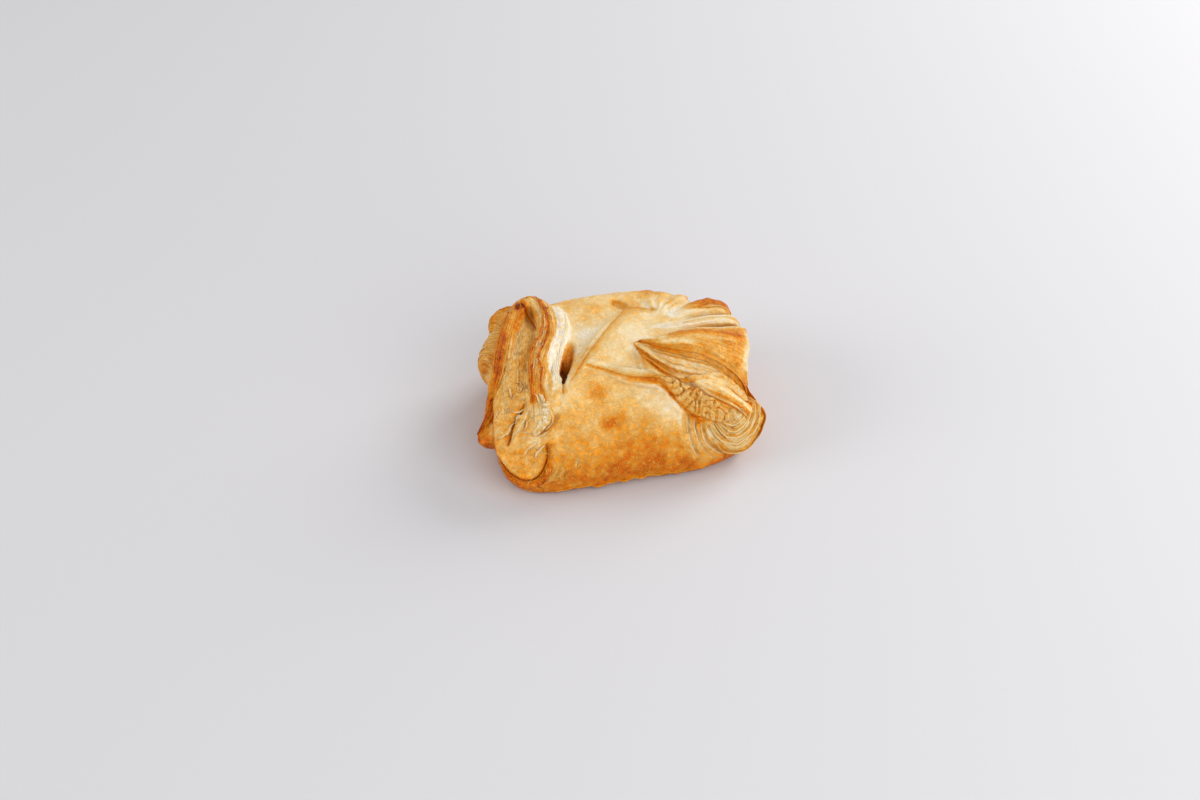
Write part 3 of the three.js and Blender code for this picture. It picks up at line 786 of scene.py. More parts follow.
TORN_LINES = [
    [[-44.8, -20.2, 27], [-42.1, -22.1, 27.1], [-38.5, -22, 28.4]],
    [[-43.4, -25.3, 24.9], [-42.8, -23.5, 26.2], [-40.5, -23, 27.2], [-39, -24.4, 27]],
    [[-50.1, -26.6, 19.7], [-47.4, -26.7, 22], [-44.5, -25.6, 24.3]],
    [[-37.3, -21.8, 28.9], [-39.6, -24.8, 26.6], [-43, -27.3, 23.7], [-45.4, -29.5, 20.6]],
    [[-33.8, -19.9, 30.8], [-31.5, -23.5, 30], [-30.3, -26.6, 28], [-31.5, -28.5, 26], [-33.8, -29.8, 24.4]],
    [[-31.6, -29.9, 24.5], [-35.3, -31.7, 22.6], [-39.2, -30.4, 22.6], [-41.4, -30.7, 21.5]],
    [[-41.8, -33.7, 17.3], [-39.7, -32.9, 19.7], [-36.4, -32.1, 21.9]],
    [[-39.1, -35, 16.6], [-37.3, -33.9, 19.3], [-33.9, -33.2, 20.9]],
    [[-35.6, -17.3, 31.7], [-34.2, -21, 30.6], [-34, -25, 28.6]],
]
FLAKES = [
    [[-31.5, -37.7, 9.3], [-29.2, -37.7, 10.2], [-28.5, -37.3, 12.4], [-29.7, -36.8, 14]],
    [[-24.2, -37.6, 10.8], [-23.3, -36.8, 13.8], [-22, -35.8, 16]],
    [[-34.4, -37.5, 6.9], [-32.5, -37.6, 10.1], [-30.8, -37.2, 12.7]],
]
# Twisted dough: its line, half widths, height, its lumps' length, and how baked its creases and its tops
# are; the creases' darker tone is partly painted shade.
CRUMPLES = [
    {
        "line": [
            [10.6, -19.4, 33], [13.6, -22, 31.9], [15.8, -24.8, 30.6], [18.8, -27.7, 28.7],
            [22.3, -30, 26.6], [26, -31.4, 24.4], [30, -31.8, 22.2], [34, -31.2, 20.4],
        ],
        "half": [1.2, 2.4, 3.2, 3.8, 4.1, 4.2, 3.8, 2.2], "high": 1.8, "size": 3, "crease": 0.62, "top": 0.27,
    },
    {
        "line": [
            [-33, -18, 31.6], [-32.2, -22, 30.2], [-32, -25.6, 28.4], [-34.4, -28.5, 25.6],
            [-38.6, -30.8, 22.4],
        ],
        "half": [1, 1.8, 2, 1.6, 1], "high": 0.8, "size": 2.4, "crease": 0.42, "top": 0.06,
    },
]
FRONT_LOW = {  # the lower left of the front, where flakes stand up
    "crest": [[-33.5, -37.6, 10], [-30, -38, 10], [-25, -38, 11], [-19, -37.6, 13]],
    "core": [-24, -10, 5], "half": [4, 4], "high": 0,
}
FOOT_LINE = [
    [-38, -42, 2.4], [-26, -40.4, 2.2], [-14, -39.4, 2.2], [-2, -38.6, 2.4], [10, -38.6, 2.2],
    [24, -38.4, 2.4],
]
GATHER = np.array([17.5, 15.0])  # where the gathers of the top run together, in plan

# Places of one colour: centre, radius, how far baked, how fully.
PATCHES = {
    "pale middle": ((6.2, 4.0, 34.0), 9, 0.13, 0.9),
    "pale middle left": ((-2.8, -4.9, 33.7), 8, 0.22, 0.9),
    "pale gather": ((17, 20, 33.4), 6, 0.14, 0.8),
    "pale gather left": ((9, 28, 33), 5, 0.24, 0.7),
    "valley": ((-9, 12, 31.3), 6, 0.08, 0.9),
    "valley foot": ((-13, 5, 30.5), 5, 0.16, 0.8),
    "top left": ((-6, 27, 32.6), 7, 0.26, 0.8),
    "top left spot": ((-4.2, 24, 32.8), 3.6, 0.38, 0.8),
    "back bump": ((18.4, 33, 31), 5.4, 0.6, 1),
    "back bump right": ((27, 30, 30), 3, 0.44, 0.8),
    "front gold": ((-12.5, -9.5, 33), 5, 0.42, 0.8),
    "front gold low": ((-12.3, -19.4, 30.4), 5, 0.6, 0.9),
    "front pale left": ((-20, -22, 30), 5, 0.3, 0.6),
    "front pale": ((11.5, -28, 25.4), 8, 0.16, 1),
    "front pale high": ((4.1, -22, 28.6), 6, 0.18, 0.9),
    "front middle": ((-1, -27, 25.5), 7, 0.46, 0.7),
    "front spot": ((-11.6, -29.3, 23.4), 2.9, 0.68, 1),
    "front spot right": ((-8.4, -29.2, 23.6), 2.8, 0.66, 1),
    "front yellow": ((8, -36.4, 13.6), 7, 0.58, 0.9),
    "front yellow left": ((-2, -35, 16.5), 7, 0.56, 0.8),
    "front left": ((-22, -29, 24), 8, 0.42, 0.8),
    "front far left": ((-27.3, -33.3, 20.3), 6, 0.42, 0.8),
    "front low left": ((-29, -37, 8), 8, 0.66, 0.9),
    "front low": ((-10, -38, 5), 11, 0.7, 0.9),
    "front low right": ((6, -37.4, 4), 9, 0.7, 0.8),
    "foot right": ((24, -37, 7), 7, 0.48, 0.8),
    "pleats": ((20, -35.4, 14), 4.6, 0.34, 0.8),
    "under the strip": ((-26.6, -23, 30.4), 3, 0.2, 0.9),
    "pleat valley": ((34.5, 13, 32.6), 3, 0.12, 0.8),
}


def work_body(crust):
    """The parcel: pale on top, golden on its walls and darker at its foot, blotched, blistered and softly
    uneven."""
    p, z = crust.points, crust.points[:, 2]
    top = step(crust.normals[:, 2], 0.35, 0.85)
    blotches = 0.14 * clouds(p, 12, 3), 0.06 * clouds(p, 4, 5)
    crust.tint(0.54 - 0.22 * top + 0.18 * (1 - step(z, 3, 12)) + blotches[0] + blotches[1], 1)
    crust.lift(0.3 * clouds(p, 10, 1) + 0.14 * clouds(p, 3, 2))
    for centre, radius, value, strength in PATCHES.values():
        gap = np.linalg.norm(p - np.array(centre), axis=-1) / radius
        crust.tint(value, strength * bump(gap + 0.3 * crust.wobble))
    crust.tint(np.minimum(crust.baked * (1 + 0.16 * (step(clouds(p, 6, 33), -0.2, 0.2) - 0.5)), 0.7), 1)
    for size, seed, high, paler in ((3.4, 21, 0.3, 0.14), (1.7, 43, 0.2, 0.13)):
        blister = domes(p, size, seed) * step(clouds(p, 4 * size, seed + 10), -0.3, 0.2)
        crust.lift(high * blister)
        crust.tint(crust.baked - paler, blister)
    crust.lift(0.5 * bump((z - 2.4) / 1.1) * (0.6 + 0.6 * crust.wobble))
    crust.tint(0.44, 0.45 * bump((z - 2.2) / 0.9) * step(crust.wobble, -0.3, 0.3))


def work_top(crust):
    """The sheet's edge along the diagonal, the hollow behind its corner, the crease in front and the
    gathers."""
    p = crust.points
    s, a, on = crust.line(DIAGONAL_LIP)
    crust.tint(0.3, 0.7 * on * within(-a, 0, 2.4, 0.8))
    crust.tint(0.58, 0.8 * on * bump((a - 0.3) / 0.55))
    crust.tint(0.12, 0.5 * on * bump((a - 2.4) / 1.6) * step(s, 0.3, 0.4) * (1 - step(s, 0.55, 0.7)))
    s, a, on = crust.line(EYE, 8)
    wide = 2 * np.sqrt(np.maximum(4 * s * (1 - s), 0.02))
    crust.lift(-1.3 * on * bump(a / wide))
    crust.tint(0.53, on * within(a, -wide, 0.5 * wide, 0.5))
    s, a, on = crust.line(CREASE_LIP, 8)
    crust.tint(0.14, 0.8 * on * bump((a + 1.8) / 1.6))
    crust.tint(0.5 + 0.08 * step(s, 0.35, 0.75), on * within(a, -0.2, 0.5 + 1.2 * s, 0.5))
    crust.lift(-0.5 * on * bump((a - 1 - s) / 0.9))
    fan = p[:, :2] - GATHER
    radius, angle = np.linalg.norm(fan, axis=-1), np.arctan2(fan[:, 1], fan[:, 0])
    gathers = within(radius, 4, 15, 4) * within(angle, 0.9, 2.6, 0.4) * step(crust.normals[:, 2], 0.35, 0.8)
    crust.lift(0.35 * np.cos(15 * angle + 2 * crust.wobble) * gathers)


def work_rim(crust):
    """The rolled rim: orange-brown, with a pale line inside its outer limb, a dark hook in its bend, and
    on its inner limb two ridges with torn pale dough between them."""
    s, c, a, on = crust.cover(RIM, 8, 0.22, 4.5)
    inner = on * step(s, 0.46, 0.52)
    outer = on - inner
    crust.tint(0.55 + 0.05 * crust.wobble, outer)
    crust.tint(0.71, 0.8 * outer * bump((c + 0.1) / 0.4) * within(s, 0.26, 0.43, 0.06))
    crust.tint(0.46, 0.8 * outer * within(c, -1.3, -0.8, 0.15))
    crust.tint(0.22, outer * bump((c - 0.78) / 0.12) * within(s, 0.12, 0.36, 0.05))
    crust.tint(0.36, 0.8 * on * within(s, 0.4, 0.52, 0.03) * bump((c - 0.1) / 0.4))
    crust.lift(outer * (0.4 * bump(c / 0.6) - 0.3 * bump((c - 0.5) / 0.13)))
    crust.tint(0.3 + 0.1 * crust.wobble, inner)
    crust.tint(0.16, 0.7 * inner * step(crust.fleck, 0.2, 0.45))
    crust.tint(0.24, 0.8 * inner * step(-c, 0.5, 0.8) * (1 - step(s, 0.78, 0.86)))
    crust.lift(on * (0.12 * np.cos(TAU * a / 1.7 + 3 * crust.wobble) + 0.2 * crust.fleck))
    crust.show_layers(a + 0.5 * crust.wobble, 0.7 * on)
    for ridge, value, middle, wider in ((LIMB_LEFT, 0.64, -0.3, 0.8), (LIMB_RIGHT, 0.62, 1, 0)):
        s, a, near = crust.line(ridge, 6)
        low = step(s, 0.6, 0.8)
        crust.tint(value - 0.04 * low, 0.95 * near * bump((a - middle + wider * low) / (0.9 + wider * low)))
        crust.lift(near * (0.5 * bump((a - middle) / 0.9) - 0.3 * bump((a - middle - 1.6) / 0.6)))
    s, a, near = crust.line(HOOK, 6)
    crust.tint(0.86, near * bump(a / (1.3 - 0.7 * s)) * (1 - 0.7 * step(s, 0.6, 0.95)))
    crust.lift(-0.6 * near * bump(a / 0.8))
    crust.claim(on)


def work_hollow(crust):
    """The trough inside the rim, streaked along its length, torn across its middle, and the oval it ends
    in, set in a groove with a raised golden band outside it."""
    s, c, a, on = crust.cover(HOLLOW, 13, 0.15, 7, 2)
    trough, torn = on * (1 - step(s, 0.5, 0.6)), on * within(s, 0.4, 0.66, 0.06)
    crust.tint(0.47 - 0.14 * (1 - step(s, 0.1, 0.3)) + 0.03 * step(s, 0.66, 0.76) + 0.1 * crust.wobble, on)
    streaks = clouds(np.stack([5 * s, 2.6 * c], -1), 1, 14)
    crust.tint(0.24, 0.7 * trough * bump((c - 0.5 + 0.2 * crust.wobble) / 0.22) * step(s, 0.1, 0.2))
    crust.tint(0.3, 0.6 * trough * step(streaks, 0.05, 0.5))
    crust.tint(0.58, 0.6 * trough * step(-streaks, 0.2, 0.6))
    crust.lift(trough * (0.6 * streaks + 0.3 * crust.fleck))
    crust.tint(0.6, trough * (1 - step(s, 0.03, 0.1)))
    crust.lift(torn * (0.6 * crust.fleck + 0.3 * streaks))
    crust.tint(0.22, 0.6 * torn * step(crust.fleck + 0.3 * crust.wobble, 0.05, 0.3))
    crust.tint(0.56, 0.5 * torn * step(-crust.fleck, 0.25, 0.5))
    crust.show_layers(a + 0.6 * crust.wobble, 0.5 * trough)
    for size, seed, high in ((2.6, 5, 0.3), (1.5, 15, 0.2)):
        blister = domes(crust.points, size, seed) * on * step(s, 0.15, 0.25)
        crust.lift(high * blister)
        crust.tint(crust.baked - 0.1, blister)
    crust.tint(0.26, 0.5 * on * step(s, 0.56, 0.66) * step(crust.fleck + 0.8 * crust.wobble, 0.25, 0.5))

    s, a, on = crust.line(OVAL_GROOVE, 8, 4.5)
    crust.lift(on * (0.7 * bump((a - 2.1) / 1.3) - 1.1 * bump(a / 0.6) + 0.4 * bump((a + 1.3) / 0.6)))
    crust.tint(0.6, 0.8 * on * within(a, 0.8, 3.6, 0.8) * (1 - step(s, 0.7, 0.92)))
    crust.tint(0.3, 0.6 * on * bump((a + 1.3) / 0.6))
    # The groove's floor tinted dark: painted shade.
    crust.tint(0.88, 0.95 * on * bump(a / 0.6))
    for line in CREVICES:
        s, a, on = crust.line({"crest": line, "core": [-30, -10, 0]}, 6)
        crust.lift(on * (0.5 * bump((a + 1.6) / 0.8) - 1.3 * bump(a / 0.7)))
        # The crevice's floor tinted dark: painted shade.
        crust.tint(0.9, 0.9 * on * bump(a / 0.5))
        crust.tint(0.2, 0.8 * on * bump((a + 1.6) / 0.9))


def work_strip(crust):
    """The pale strip beside the rim: a golden band where it leaves the rim, then almost raw dough up to
    its ragged edge at the slit, yellower towards its front end, and the torn corner below it."""
    s, a, o = along(crust.points, {"crest": STRIP_LEFT, "core": [-20, 4, 0]}, 8)
    width = np.linalg.norm(through(STRIP_RIGHT, s) - through(STRIP_LEFT, s), axis=-1)
    on = (np.abs(o) < 3.5) * within(s, 0.05, 0.97, 0.04)
    crust.tint(0.42, 0.85 * on * within(a, -0.4, 1.4, 0.5))
    pale = on * within(-a, 0.2, width + 0.7 * crust.fleck, 0.5)
    crust.tint(0.03 + 0.25 * step(s, 0.65, 0.88) + 0.08 * crust.fleck, pale)
    crust.lift(0.4 * on * crust.fleck * within(-a, 0, width, 0.6))
    for centre, radius in (((-33, -25.5, 27.8), 4.2), ((-37.5, -31, 22.5), 3)):
        torn = bump(np.linalg.norm(crust.points - np.array(centre), axis=-1) / radius)
        crust.tint(0.14, 0.85 * torn)
        crust.tint(0.5, 0.5 * torn * step(-crust.fleck, 0.2, 0.5))
        crust.lift(0.7 * torn * crust.fleck)


def work_ears(crust):
    """The two ears that bulge out behind the rim, and the pinched point in front of them."""
    for ear, value, lines in ((EAR_LOW, 0.36, 2.3), (EAR_HIGH, 0.46, 1.9)):
        s, _, a, on = crust.cover(ear, 12, 0.3, 9, 2)
        on = on * step(s + 0.06 * crust.wobble, 0.05, 0.4)
        streaks = np.cos(TAU * a / lines + crust.wobble)
        crust.tint(value - 0.12 * streaks + 0.04 * crust.wobble, on)
        crust.lift(on * (0.22 * streaks + 0.12 * crust.fleck))
        crust.show_layers(1.2 * a + 0.1 * crust.wobble, on)
    s, a, o = along(crust.points, POINT, 9)
    on = step(s, 0.25, 0.7) * (np.abs(a) < 7) * within(o, -9, 2, 1)
    crust.tint(0.62 + 0.1 * crust.wobble, on)


def work_flap(crust):
    """The flap: golden, streaked from its tip outwards, orange behind its back edge, pale along its
    middle, browned at its tip, cut edge and far corner."""
    s, t, on = crust.sheet(FLAP_EDGE, CUT_EDGE, [26, -4, 0])
    near = on > 0
    s[near], t[near] = place_on(crust.points[near], FLAP_EDGE, CUT_EDGE, s[near])
    streaks = clouds(np.stack([4 * s, 14 * t + 3 * s], -1), 1, 12)
    crust.tint(0.46 + 0.08 * streaks, on)
    crust.tint(0.6, 0.9 * on * bump((t - 0.3) / 0.12) * step(s, 0.45, 0.58))
    crust.tint(0.57, 0.9 * on * bump((t - 0.26) / 0.1) * within(s, 0.29, 0.48, 0.05))
    crust.tint(0.2, 0.95 * on * bump((t - 0.64) / 0.14) * within(s, 0.26, 0.38, 0.06))
    crust.tint(0.24, 0.9 * on * bump((t - 0.87) / 0.07) * within(s, 0.36, 0.56, 0.06))
    crust.tint(0.26, 0.8 * on * bump((t - 0.52) / 0.08) * within(s, 0.42, 0.52, 0.06))
    crust.tint(0.1, 0.9 * on * (1 - step(t, 0.35, 0.75)) * within(s, 0.08, 0.25, 0.05))
    crust.tint(0.58, 0.9 * on * step(t, 0.72, 0.86) * within(s, 0.08, 0.32, 0.05))
    crust.tint(0.55, 0.8 * on * step(t, 0.95, 0.99) * within(s, 0.3, 0.8, 0.05))
    crust.tint(0.28, 0.85 * on * bump((t - 0.02) / 0.04) * step(s, 0.08, 0.2))
    crust.tint(0.64, on * bump(t / 0.12) * within(s, 0.7, 0.8, 0.04))
    crust.tint(0.76, on * (1 - step(s, 0.03, 0.14)))
    crust.tint(0.12, 0.9 * on * within(s, 0.75, 0.8, 0.08) * within(t, 0.2, 0.75, 0.15))
    crust.tint(0.58, 0.8 * on * step(s, 0.66, 0.8) * step(t, 0.7, 0.85))
    crust.lift(0.45 * on * streaks * step(s, 0.06, 0.2))
    crust.show_layers(t * 14 + 0.4 * crust.wobble, 0.4 * on * step(s, 0.04, 0.12))
    crust.claim(on)


def work_cut_face(crust):
    """The cut face: pale torn layers with a dark line of painted shadow under the flap's edge, and a brown
    crisp lower lip; then the leaf below it, with a dark line of painted shadow along its upper edge.
    """
    s, t, on = crust.sheet(CUT_EDGE, CUT_FOOT, [24, -2, 0])
    on = on * within(s, 0.02, 0.85, 0.06)
    leaves = ridges(4 * t + 0.4 * crust.wobble)
    crust.tint(0.44 - 0.24 * leaves + 0.12 * crust.wobble, on)
    # Just under the flap's cut edge (t near 1) a dark band: painted shadow of the overhanging edge.
    lip = 0.9 * on * bump((t - 0.93) / 0.08) * within(s, 0.05, 0.5, 0.06)
    crust.tint(0.57 - 0.12 * step(s, 0.1, 0.3), lip)
    crust.tint(0.58, on * (1 - step(t, 0.16, 0.34)) * (1 - step(s, 0.3, 0.44)))
    crust.lift(on * (0.5 * leaves + 0.45 * crust.fleck * within(s, 0.15, 0.7, 0.1)))
    crust.claim(on)
    s, t, on = crust.sheet(LEAF_NEAR, LEAF_FAR, [28, -8, 4])
    crust.tint(0.18 + 0.1 * crust.wobble, on)
    crust.tint(0.62, 0.9 * on * (1 - step(t, 0.1 + 0.3 * s, 0.3 + 0.4 * s)) * step(s, 0.2, 0.5))
    # Along the leaf's edge at LEAF_NEAR (t near 1), under the cut face, a dark line: painted shadow.
    crust.tint(0.8, on * bump((t - 0.98) / 0.08) * within(s, 0.2, 0.9, 0.1))
    crust.lift(0.15 * on * np.cos(TAU * 4 * t + 2 * crust.wobble))
    crust.claim(on)


def work_braid(crust):
    """The braid: twisted lumps of pale dough, darker in their creases as browner dough and as painted
    shade, with painted shadow along its lower edge; then the curl, its layers' edges nested inside a crisp
    rim and open towards the braid."""
    s, c, a, on = crust.cover(BRAID, 14, 0.12, 8, 2.5)
    on = on * within(s, 0.26, 1, 0.05)
    rough = on * (1 - step(s, 0.56, 0.64))
    lumps = creased(crust.points, 3.2, 61)
    # Darker in the lumps' creases: partly browner dough, partly painted shade.
    crust.tint(0.56 - 0.26 * lumps + 0.08 * crust.wobble, rough)
    # A dark band along the braid's lower edge (c near 0.7): painted shadow.
    crust.tint(0.66, 0.85 * rough * bump((c - 0.7) / 0.3))
    crust.lift(rough * (0.6 * lumps + 0.2 * crust.fleck - 0.3))
    crust.show_layers(a + 0.5 * crust.wobble, 0.6 * rough)

    r, a, o = along(crust.points, RIM_EDGE, 15)
    depth = np.hypot(a, o)
    curl = (on - rough) * within(a, -0.5, 14, 0.5)
    leaves = ridges(depth / 2.3 + 0.2 * crust.wobble + 0.5)
    crust.tint(0.55 - 0.42 * leaves + 0.12 * crust.fleck, curl)
    crust.tint(0.62, 0.8 * curl * within(r, 0.04, 0.3, 0.06) * within(depth, 1.4, 8, 1))
    crust.lift(curl * (1.1 * leaves - 0.6) * step(depth, 0.4, 1.4))
    crust.show_layers(1.3 * depth + 0.4 * crust.wobble, curl)
    rim = (np.abs(o) < 5) * within(r, 0.03, 0.75, 0.08) * (1 - crust.claimed)
    crust.lift(0.8 * rim * bump(a / 1.1))
    crust.tint(0.56, 0.9 * rim * bump((a + 0.6) / 1.4))
    crust.tint(0.3, 0.7 * rim * bump((a - 0.5) / 0.5))
    crust.claim(curl)


def work_corner(crust):
    """The pleats of the back corner: golden ridges, pale on their front, finely streaked."""
    for pleat, gold, low, high, start in (
        (PLEAT_BACK, 0.64, -1.2, 0.72, 0.22), (PLEAT_FRONT, 0.54, -0.4, 0.5, 0.6),
    ):
        s, c, a, on = crust.cover(pleat, 9, 0.4, 4, 2)
        on = on * within(s, 0.05, 1, 0.05)
        streaks = np.cos(TAU * a / 1.7 + 3 * crust.wobble)
        crust.tint(0.06 - 0.04 * streaks, on)
        grown = step(s, start - 0.14, start + 0.24)
        ridge = within(c, low * grown, high * grown, 0.25)
        crust.tint(gold, 0.95 * on * grown * ridge * within(s, 0, 0.92, 0.12))
        crust.lift(on * (0.12 * streaks + 0.12 * crust.fleck))
        crust.show_layers(a + 0.4 * crust.wobble, 0.6 * on)
        crust.claim(on)


def work_wall(crust):
    """Soft upright pleats in the wall between the front and the curl: each a round ridge beside a groove,
    the ridge painted paler as lit and the groove darker as painted shade.
    """
    for line in WALL_PLEATS:
        s, a, on = crust.line({"crest": line, "core": [18, 0, 5]}, 6)
        on = on * (1 - crust.claimed)
        crust.lift(on * (1.1 * bump((a - 1) / 0.9) - 0.8 * bump((a + 0.2) / 0.5)))
        # Paler on the ridge: painted light.
        crust.tint(0.2, 0.8 * on * bump((a - 1) / 0.8))
        # Darker in the groove: painted shade.
        crust.tint(0.46, 0.8 * on * bump((a + 0.2) / 0.5))


def work_slit(crust):
    """The slit's inside: dark below as painted shade, amber at its back end where its inner wall shows,
    with a narrow tail towards the front, its groove darkened as painted shade.
    """
    _, s = beside_line(crust.points, [c[:2] for c in SLIT["crest"]])
    deep = step(slit_pit(crust.points), 0.8, 3.5) * (crust.points[:, 2] > 20)
    # The pit's depth tinted nearly burnt: painted shade inside the slit.
    crust.tint(0.94, deep)
    crust.tint(0.64, deep * (1 - step(s, 0.26, 0.46)))
    s, a, on = crust.line(SLIT_TAIL, 4)
    crust.lift(-1.2 * on * bump(a / 0.7))
    # A dark line along the tail's groove: painted shade.
    crust.tint(0.62, 0.8 * on * bump(a / 0.6))


def bake(crust):
    """Works every fold, the outermost first, and finishes the crust."""
    for work in (
        work_body, work_top, work_rim, work_flap, work_corner, work_cut_face, work_hollow, work_strip,
        work_ears, work_braid, work_wall, work_slit,
    ):
        work(crust)
    crust.finish()


# ---- Leaves of dough that stand off the crust ----


def on_fold(fold, s, c):
    """Points on a fold's upper side: at a share of its crest and c half widths across it."""
    s, c = np.broadcast_arrays(np.asarray(s, float), np.asarray(c, float))
    at, across, out = frame_at(fold["crest"], fold["core"], s)
    half = through(fold["half"], s)
    high = fold["high"] * (half if fold.get("by_half") else 1)
    lower = high * ((1 - np.minimum(c * c, 1)) ** (ROLL_TOP / 2) - 1)
    return at + across * (half * c)[:, None] + out * lower[:, None]


def row(fold, start, end, c, drift=0.0):
    """A line along a fold, c half widths across it, that drifts across by the end."""
    s = np.linspace(start, end, 24)
    return on_fold(fold, s, c + drift * np.linspace(0, 1, 24))


def between(near, far, t, start, end):
    """A line along a sheet, t of the way from its near line to its far one."""
    s = np.linspace(start, end, 24)
    return through(near, s) * (1 - t) + through(far, s) * t


def leaf(line, width, height, root, lip, facing=1, thick=0.5, ragged=0.35):
    """What a leaf needs: its lip's line, how far its root lies behind the lip, how high the lip stands,
    how baked its root and its lip are, the side of the line it faces, its thickness and how ragged its lip
    is. All but the last three may be a list that runs along the line."""
    return {
        "line": np.asarray(line, float), "width": width, "height": height, "root": root, "lip": lip,
        "facing": facing, "thick": thick, "ragged": ragged,
    }


def smoothed(line, rounds):
    """A line whose inner points are drawn towards their neighbours in each round: (before + 2 at + after)
    / 4."""
    line = line.copy()
    for _ in range(rounds):
        line[1:-1] = (line[:-2] + 2 * line[1:-1] + line[2:]) / 4
    return line


def settle(line, points, normals, pace=0.45, least=12, margin=5, rounds=8):
    """The line laid on the crust, sampled at an even pace: at each sample the average of the crust's
    points and normals, weighted by exp(-(d^2 - least d^2)), then smoothed along the line."""
    rough = through(line, np.linspace(0, 1, 200))
    length = np.concatenate([[0], np.cumsum(np.linalg.norm(np.diff(rough, axis=0), axis=1))])
    even = np.linspace(0, length[-1], int(max(length[-1] / pace, least)))
    path = np.stack([np.interp(even, length, rough[:, k]) for k in range(3)], -1)
    near = ((points > path.min(0) - margin) & (points < path.max(0) + margin)).all(-1)
    p, n = points[near], normals[near]
    gap = ((path[:, None] - p[None]) ** 2).sum(-1)
    weight = np.exp(-np.minimum(gap - gap.min(1, keepdims=True), 30))
    weight /= weight.sum(1, keepdims=True)
    return smoothed(weight @ p, rounds), unit(smoothed(weight @ n, rounds))


def run(value, s):
    """A number as it is, or the numbers of a list run along s."""
    return through(value, s) if isinstance(value, list) else value


def leaf_skin_of(spec, points, normals, seed, sides=16):
    """A leaf of dough along its settled line: with t = (1 - cos turn) / 2 from root to lip it runs t - 1
    widths behind the lip and rises as t^1.5, its faces parted by (4t(1-t))^0.35, the lip roughened by
    noise, and both of its ends run out to nothing. Also gives its looks."""
    path, normal = settle(spec["line"], points, normals)
    s = np.linspace(0, 1, len(path))[:, None]
    width, height, root, lip = (run(spec[key], s) for key in ("width", "height", "root", "lip"))
    turn = whole_turn(sides)[None]
    t = 0.5 - 0.5 * np.cos(turn)
    aside = unit(np.cross(unit(np.gradient(path, axis=0)), normal)) * spec["facing"]
    ends = run_out(s)
    rough, slow = clouds(path, 1.5, seed)[:, None], clouds(path, 6, seed + 3)[:, None]
    reach = (t - 1) * width + t * t * spec["ragged"] * (rough + slow)
    rise = height * t ** 1.5 * (1 + 0.5 * slow + 0.25 * rough) - ROOT_DEPTH * (1 - t)
    half = spec["thick"] / 2 * np.sqrt(4 * t * (1 - t)) ** 0.7 * np.sign(np.sin(turn))
    out = (rise + half) * ends - END_DEPTH * (1 - ends)
    place = path[:, None] + aside[:, None] * (reach * ends)[..., None] + normal[:, None] * out[..., None]
    baked = root + (lip - root) * t * t + 0.1 * slow + 0.06 * rough
    layer = t * width * 1.4 + 0.3 * rough
    looks = np.stack([baked, layer, np.full_like(layer, LEAF_LAYERS)], -1)
    return outwards(*grid_skin(place)), ringed(looks)


def crumple_skin(spec, points, normals, seed, steps=260, sides=96):
    """Twisted dough laid on the crust: c = cos(turn) across its settled line, its upper side sin(turn)^0.7
    high. It's raised in slanting lumps, |sin(pi (length s / size + 0.4 c))|^0.6 with noise in the phase,
    and by creased noise. Also gives its looks: its creases darkest, as browner dough and as painted shade,
    its lumps palest."""
    path, normal = settle(spec["line"], points, normals)
    s, turn = eased(steps), whole_turn(sides)[None]
    c, up, down = np.cos(turn), np.maximum(np.sin(turn), 0), np.maximum(-np.sin(turn), 0)
    at, out = through(path, s), unit(through(normal, s))
    ahead = unit(through(path, np.clip(s + 0.02, 0, 1)) - through(path, np.clip(s - 0.02, 0, 1)))
    across = np.cross(ahead, out)
    cap = run_out(s)
    ragged = 1 + 0.3 * clouds(at + 2 * across * c[..., None], 3, seed)
    half = through(spec["half"], s) * ragged * power(c, 0.9) * cap
    rise = (spec["high"] * up ** 0.7 - 1.8 * down ** 0.7 - 0.6) * cap
    place = at + across * half[..., None] + out * rise[..., None]
    size, high = spec["size"], spec["high"]
    length = np.linalg.norm(np.diff(path, axis=0), axis=1).sum()
    twist = ridges(length * s / size + 0.4 * c + 1.5 * clouds(place, 1.5 * size, seed + 3, 2))
    lumps = 0.5 * twist + 0.5 * creased(place, 0.9 * size, seed + 1)
    small = creased(place, 0.36 * size, seed + 2)
    place = place + out * ((1.6 * lumps + 0.5 * small - 1.2) * high ** 0.5 * up ** 0.4 * cap)[..., None]
    crease, top = spec["crease"], spec["top"]
    # Darker in the creases: partly browner dough, partly painted shade.
    baked = crease + (top - crease) * (0.75 * lumps + 0.25 * small) * step(up, 0.1, 0.6)
    looks = np.stack([baked, 2 * half, np.full_like(baked, CRUMPLE_LAYERS)], -1)
    return outwards(*grid_skin(place)), ringed(looks)


def nested(k, start, end):
    """A part of a line of the curl: its rim, smoothed and drawn towards its eye."""
    return CURL_EYE + k * (smoothed(through(RIM_EDGE["crest"], np.linspace(start, end, 32)), 14) - CURL_EYE)


def shreds(fold, count, seed, span, wide, long, height, root, lip, turned=0.0):
    """Short curved leaves scattered over a fold, each at a random place on it: its line x = long t, y = 4
    bend t^2 for t from -1/2 to 1/2 is turned by a random angle from the fold's own direction."""
    draw = np.random.default_rng(seed)
    t = np.linspace(-0.5, 0.5, 12)
    for _ in range(count):
        s, c = draw.uniform(*span, 1), draw.uniform(*wide, 1)
        _, across, out = frame_at(fold["crest"], fold["core"], s)
        ahead = np.cross(out, across)
        angle, length = turned + draw.normal(0, 0.5), long * draw.uniform(0.6, 1.4)
        x, y = length * t, length * draw.uniform(-1.4, 1.4) * t * t
        line = on_fold(fold, s, c) + np.outer(x * math.cos(angle) - y * math.sin(angle), ahead[0])
        line = line + np.outer(x * math.sin(angle) + y * math.cos(angle), across[0])
        facing, width = 1 if draw.random() < 0.5 else -1, draw.uniform(0.7, 1.4)
        stands, browned = height * draw.uniform(0.7, 1.3), lip + draw.uniform(-0.06, 0.06)
        yield leaf(line, width, stands, root, browned, facing, 0.3, 0.5)


